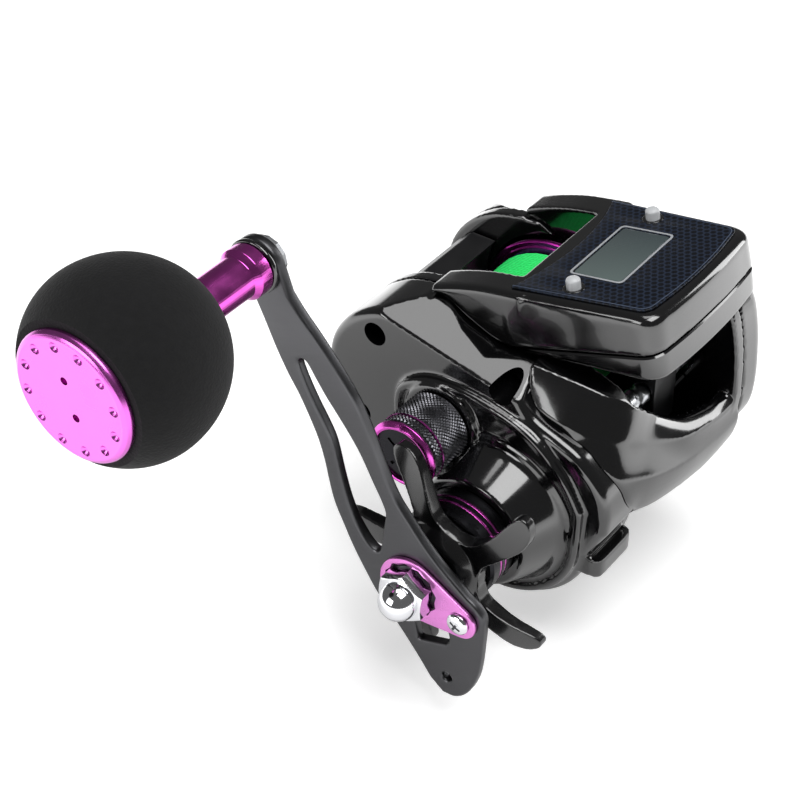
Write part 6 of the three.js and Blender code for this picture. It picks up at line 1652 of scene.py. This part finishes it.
def main_frame():
    inside = (-WALL_INNER - 1, WALL_INNER + 1)
    rear = -REAR_REACH * 0.95
    body = moulded(merge(
        "frame",
        prism("wall", case_outline(), WALL_INNER, WALL_OUTER),
        prism("wall", palm_outline(), -WALL_OUTER, -WALL_INNER),
        block((-REAR_REACH * 0.6, FRONT_REACH * 0.8), (-BODY_DROP, FLOOR_TOP), inside),
        block((rear, rear + 4.8), (-BODY_DROP * 0.42, -1.6), inside),
        block((WORM[0] - 11.4, WORM[0] - 6.6), (WORM[1] + 9.6, WORM[1] + 12), inside),
        nose()), HOUSING_CELL, 3)
    palm_out = -WALL_OUTER - OVERRUN
    gear_side = (WALL_INNER - OVERRUN, WALL_OUTER + OVERRUN)
    slot = -REAR_REACH * 0.86
    tools = [
        prism("tool", inset(case_outline(), -SEAM), WALL_OUTER + 0.12, CASE_FACE + 12),
        lathe("tool", PALM_BORE),
        disc(5.3, *gear_side), disc(5.3, *gear_side, DRIVE), disc(2.7, palm_out, WALL_OUTER, WORM),
        disc(6.4, WALL_OUTER - 0.02, 19, WORM, steps=ROUND),
        disc(1.5, palm_out, WALL_INNER + 2, (WORM[0], WORM[1] - 7.2)),
        block((slot, slot + 6), (-1.3, 6.3), gear_side),
    ]
    tools += [disc(SCREW_CORE, *gear_side, body_point(p), steps=24) for p in COVER_WELLS]
    tools += [disc(SCREW_CORE, -BODY_DROP - OVERRUN, FLOOR_TOP + OVERRUN,
                   (side * FOOT_SCREW_SPACING / 2, 0), REEL_PLAN, 24) for side in (1, -1)]
    places = [(1.2, 28.9, polar((0, 0), side * 10, YOKE_ANGLE)) for side in (1, -1)]
    posts = [disc(radius, WALL_OUTER - OVERRUN, end, place, steps=24)
             for radius, end, place in [*places, (1.6, 19.6, IDLER)]]
    finish_piece(join(cut(body, *tools), *posts), "frame_casting", "frame", "glossBlack",
                 "main_frame", 34)


def gear_cover():
    outline, ridge = case_outline(), ridge_outline()
    shell = cut(pillow("case", outline, COVER_INNER, CASE_FACE, CASE_EDGE),
                above_crease(0, CASE_FACE, CREASE_NORMAL))
    bead = cut(pillow("ridge", ridge, CASE_FACE - 2, RIDGE_FACE, 0.8),
               prism("tool", inset(ridge, RIDGE_BEAD), RIDGE_FACE - RIDGE_DEPTH,
                     RIDGE_FACE + OVERRUN))
    boss = lathe("boss", [
        (0, 29), (BOSS_RADIUS + 1.2, 29), (BOSS_RADIUS + 1.2, 32.1), (BOSS_RADIUS - 0.1, 32.4),
        (BOSS_RADIUS - 0.8, 33.4), (BOSS_TOP_RADIUS + 1.1, 39.8),
        (BOSS_TOP_RADIUS + 0.5, BOSS_FACE), (0, BOSS_FACE)], DRIVE)
    boss = cut(boss, disc(8.6, 33.2, BOSS_FACE + OVERRUN, steps=ROUND))
    cap_boss = lathe("boss", [(0, 29), (9.3, 29), (8.7, 33.3), (0, 33.3)])
    plan = soften(band(PAD_FRONT - PAD_DEPTH * 3, PAD_FRONT, COVER_INNER + 0.2, CASE_FACE - 0.4),
                  PAD_DEPTH)
    pad = prism("pad", plan, -BODY_DROP - PAD_HEIGHT, -BODY_DROP + 1.2, REEL_PLAN)
    body = moulded(merge("cover", shell, bead, boss, cap_boss, pad), COVER_CELL, 5)
    inner = inset(outline, SHELL_WALL + 0.2)
    hollow = cut(prism("tool", inner, COVER_INNER - OVERRUN, CASE_FACE - SHELL_WALL),
                 above_crease(SHELL_WALL * 1.3, CASE_FACE, CREASE_NORMAL))
    wells = [body_point(share) for share in COVER_WELLS]
    posts = [cut(disc(WELL_RADIUS + SHELL_WALL, COVER_INNER, CASE_FACE - 0.8, place),
                 above_crease(0.8, CASE_FACE, CREASE_NORMAL)) for place in wells]
    body = join(cut(body, hollow), *posts, disc(6, CASE_FACE, 40.1, steps=ROUND))
    tools = [disc(WELL_RADIUS, WELL_SEAT, CASE_FACE + 4, place) for place in wells]
    tools += [disc(SCREW_CORE, COVER_INNER - OVERRUN, CASE_FACE, place, steps=24)
              for place in wells]
    tools += [disc(9.6, 28.2, 39.4, DRIVE), disc(6.5, CASE_FACE, BOSS_FACE + OVERRUN, DRIVE,
                                                 steps=ROUND),
              disc(4.9, 28.2, 41.1), disc(6.7, COVER_INNER - OVERRUN, 19.5, WORM),
              lathe("tool", band(10.6, 11.2, BOSS_FACE - 0.5, BOSS_FACE + OVERRUN), DRIVE)]
    tools += [disc(0.6, -BODY_DROP - PAD_HEIGHT - OVERRUN, -BODY_DROP - 0.8,
                   (PAD_FRONT - PAD_DEPTH * 0.9, COVER_INNER + 14 * share), REEL_PLAN, 20)
              for share in (0.35, 0.6)]
    finish_piece(cut(body, *tools), "gear_case_cover", "frame", "glossBlack", "gear_cover", 34)


def palm_cover():
    outline, face = palm_outline(), -PALM_FACE
    shell = cut(pillow("palm", outline, -COVER_INNER, face, PALM_EDGE),
                above_crease(0, face, PALM_CREASE_NORMAL))
    collar = lathe("collar", [(9.5, face + 1), (13.2, face + 1), (11.4, face - 0.9),
                              (9.5, face - 0.9)])
    hollow = cut(prism("tool", inset(outline, SHELL_WALL + 0.3), face + SHELL_WALL * 2,
                       -COVER_INNER + OVERRUN),
                 above_crease(SHELL_WALL * 1.3, face, PALM_CREASE_NORMAL))
    line = cut(prism("tool", inset(outline, 5.2), face - OVERRUN, face + 0.35),
               prism("tool", inset(outline, 5.8), face - OVERRUN * 2, face + OVERRUN))
    shell = cut(moulded(merge("palm", shell, collar), HOUSING_CELL, 3), hollow, line,
                disc(2.3, face - OVERRUN, face + 4.6, steps=32))
    boss = lathe("boss", band(5.3, 6.9, face + 3, -12.6))
    finish_piece(join(shell, boss), "palm_side_cover", "frame", "glossBlack", "palm_cover", 34)


def brake_dial():
    face = -27.15
    dial = lathe("dial", soften([
        (0, -25.6), (9, -25.6), (9, face + 0.3), (8.3, face), (6.6, face), (6.2, face + 0.5),
        (2.4, face + 0.5), (2.2, face + 0.1), (0, face + 0.1)], 0.2, closed=False))
    dial = cut(dial, copies_round(small_shape(band(0, 0.7, -28.5, -25)), 24, 9.25))
    dial = join(dial, block((-0.6, 0.6), (2.6, 6.4), (face + 0.1, -26)),
                disc(2, -26, -21, steps=32))
    finish_piece(dial, "brake_dial_wheel", "brake_control", "satinBlack", "brake_dial")


def worm():
    """The level wind's screw: two grooves of opposite hand cross along it."""
    steps = 72
    turns = [TURN * i / steps for i in range(steps)]
    middle = [-WORM_RUN + WORM_CELL * i for i in range(round(WORM_RUN * 2 / WORM_CELL) + 1)]
    body = [[(*polar(WORM, worm_radius(turn, z), turn), z) for turn in turns]
            for z in (WORM_START + WORM_EDGE, *middle, WORM_END - WORM_EDGE)]
    start, end = ([(*polar(WORM, WORM_RADIUS - WORM_EDGE, turn), z) for turn in turns]
                  for z in (WORM_START, WORM_END))
    thing = loft("worm", [start, *body, end])
    finish_piece(thing, "crossed_worm", "worm", "bareMetal", "worm_shaft", 40)


def worm_radius(angle, z):
    deepest = 0
    for hand in (1, -1):
        away = ((z / WORM_PITCH - hand * angle / TURN) % 1 - 0.5) * WORM_PITCH / (WORM_GROOVE / 2)
        if abs(away) < 1 and abs(z) < WORM_RUN - WORM_GROOVE:
            deepest = max(deepest, 1 - away * away)
    return WORM_RADIUS - WORM_GROOVE_DEPTH * deepest


def screws():
    """Crosshead screws in the cover's wells and under the foot."""
    for place, share in zip(("rear", "front", "low"), COVER_WELLS):
        node = f"cover_screw_{place}"
        slots = cross_slot(body_point(share), 21.6, 23, 2.6, 0.6, REEL, 0.3)
        finish_piece(cut(cad_copy(node), *slots), f"{node}_head", "frame", "satinMetal", node)
    for place, side in (("front", 1), ("rear", -1)):
        node = f"foot_screw_{place}"
        slots = cross_slot((side * FOOT_SCREW_SPACING / 2, 0), -26, -24, 2.8, 0.65, REEL_PLAN, 0.5)
        finish_piece(cut(cad_copy(node), *slots), f"{node}_head", "frame", "bareMetal", node)


def eased_nodes():
    """Moulded pieces whose CAD form is right: their edges eased as the mould leaves them."""
    for node, body, cell, passes in (("thumb_bar", "thumb_rest", 0.3, 8),
                                     ("reel_foot", "frame", 0.4, 5),
                                     ("line_guide", "carriage", 0.22, 5)):
        finish_piece(moulded(cad_copy(node), cell, passes), f"{node}_eased", body, "satinBlack",
                     node, 40)


upper_shell()
lower_shell()
label()
display()
push_button(1, "power_key_top", "power_key", "power_button")
push_button(-1, "reset_key_top", "reset_key", "reset_button")
battery_door()
main_frame()
gear_cover()
palm_cover()
brake_dial()
worm()
screws()
eased_nodes()
knob_grip()
knob_cap()
knob_neck()
handle_arm()
retainer()
cap_nut()
star_drag()
drag_collar()
arm_spacer()
cast_cap()
spool()
wound_line()

camera()
floor()
studio()
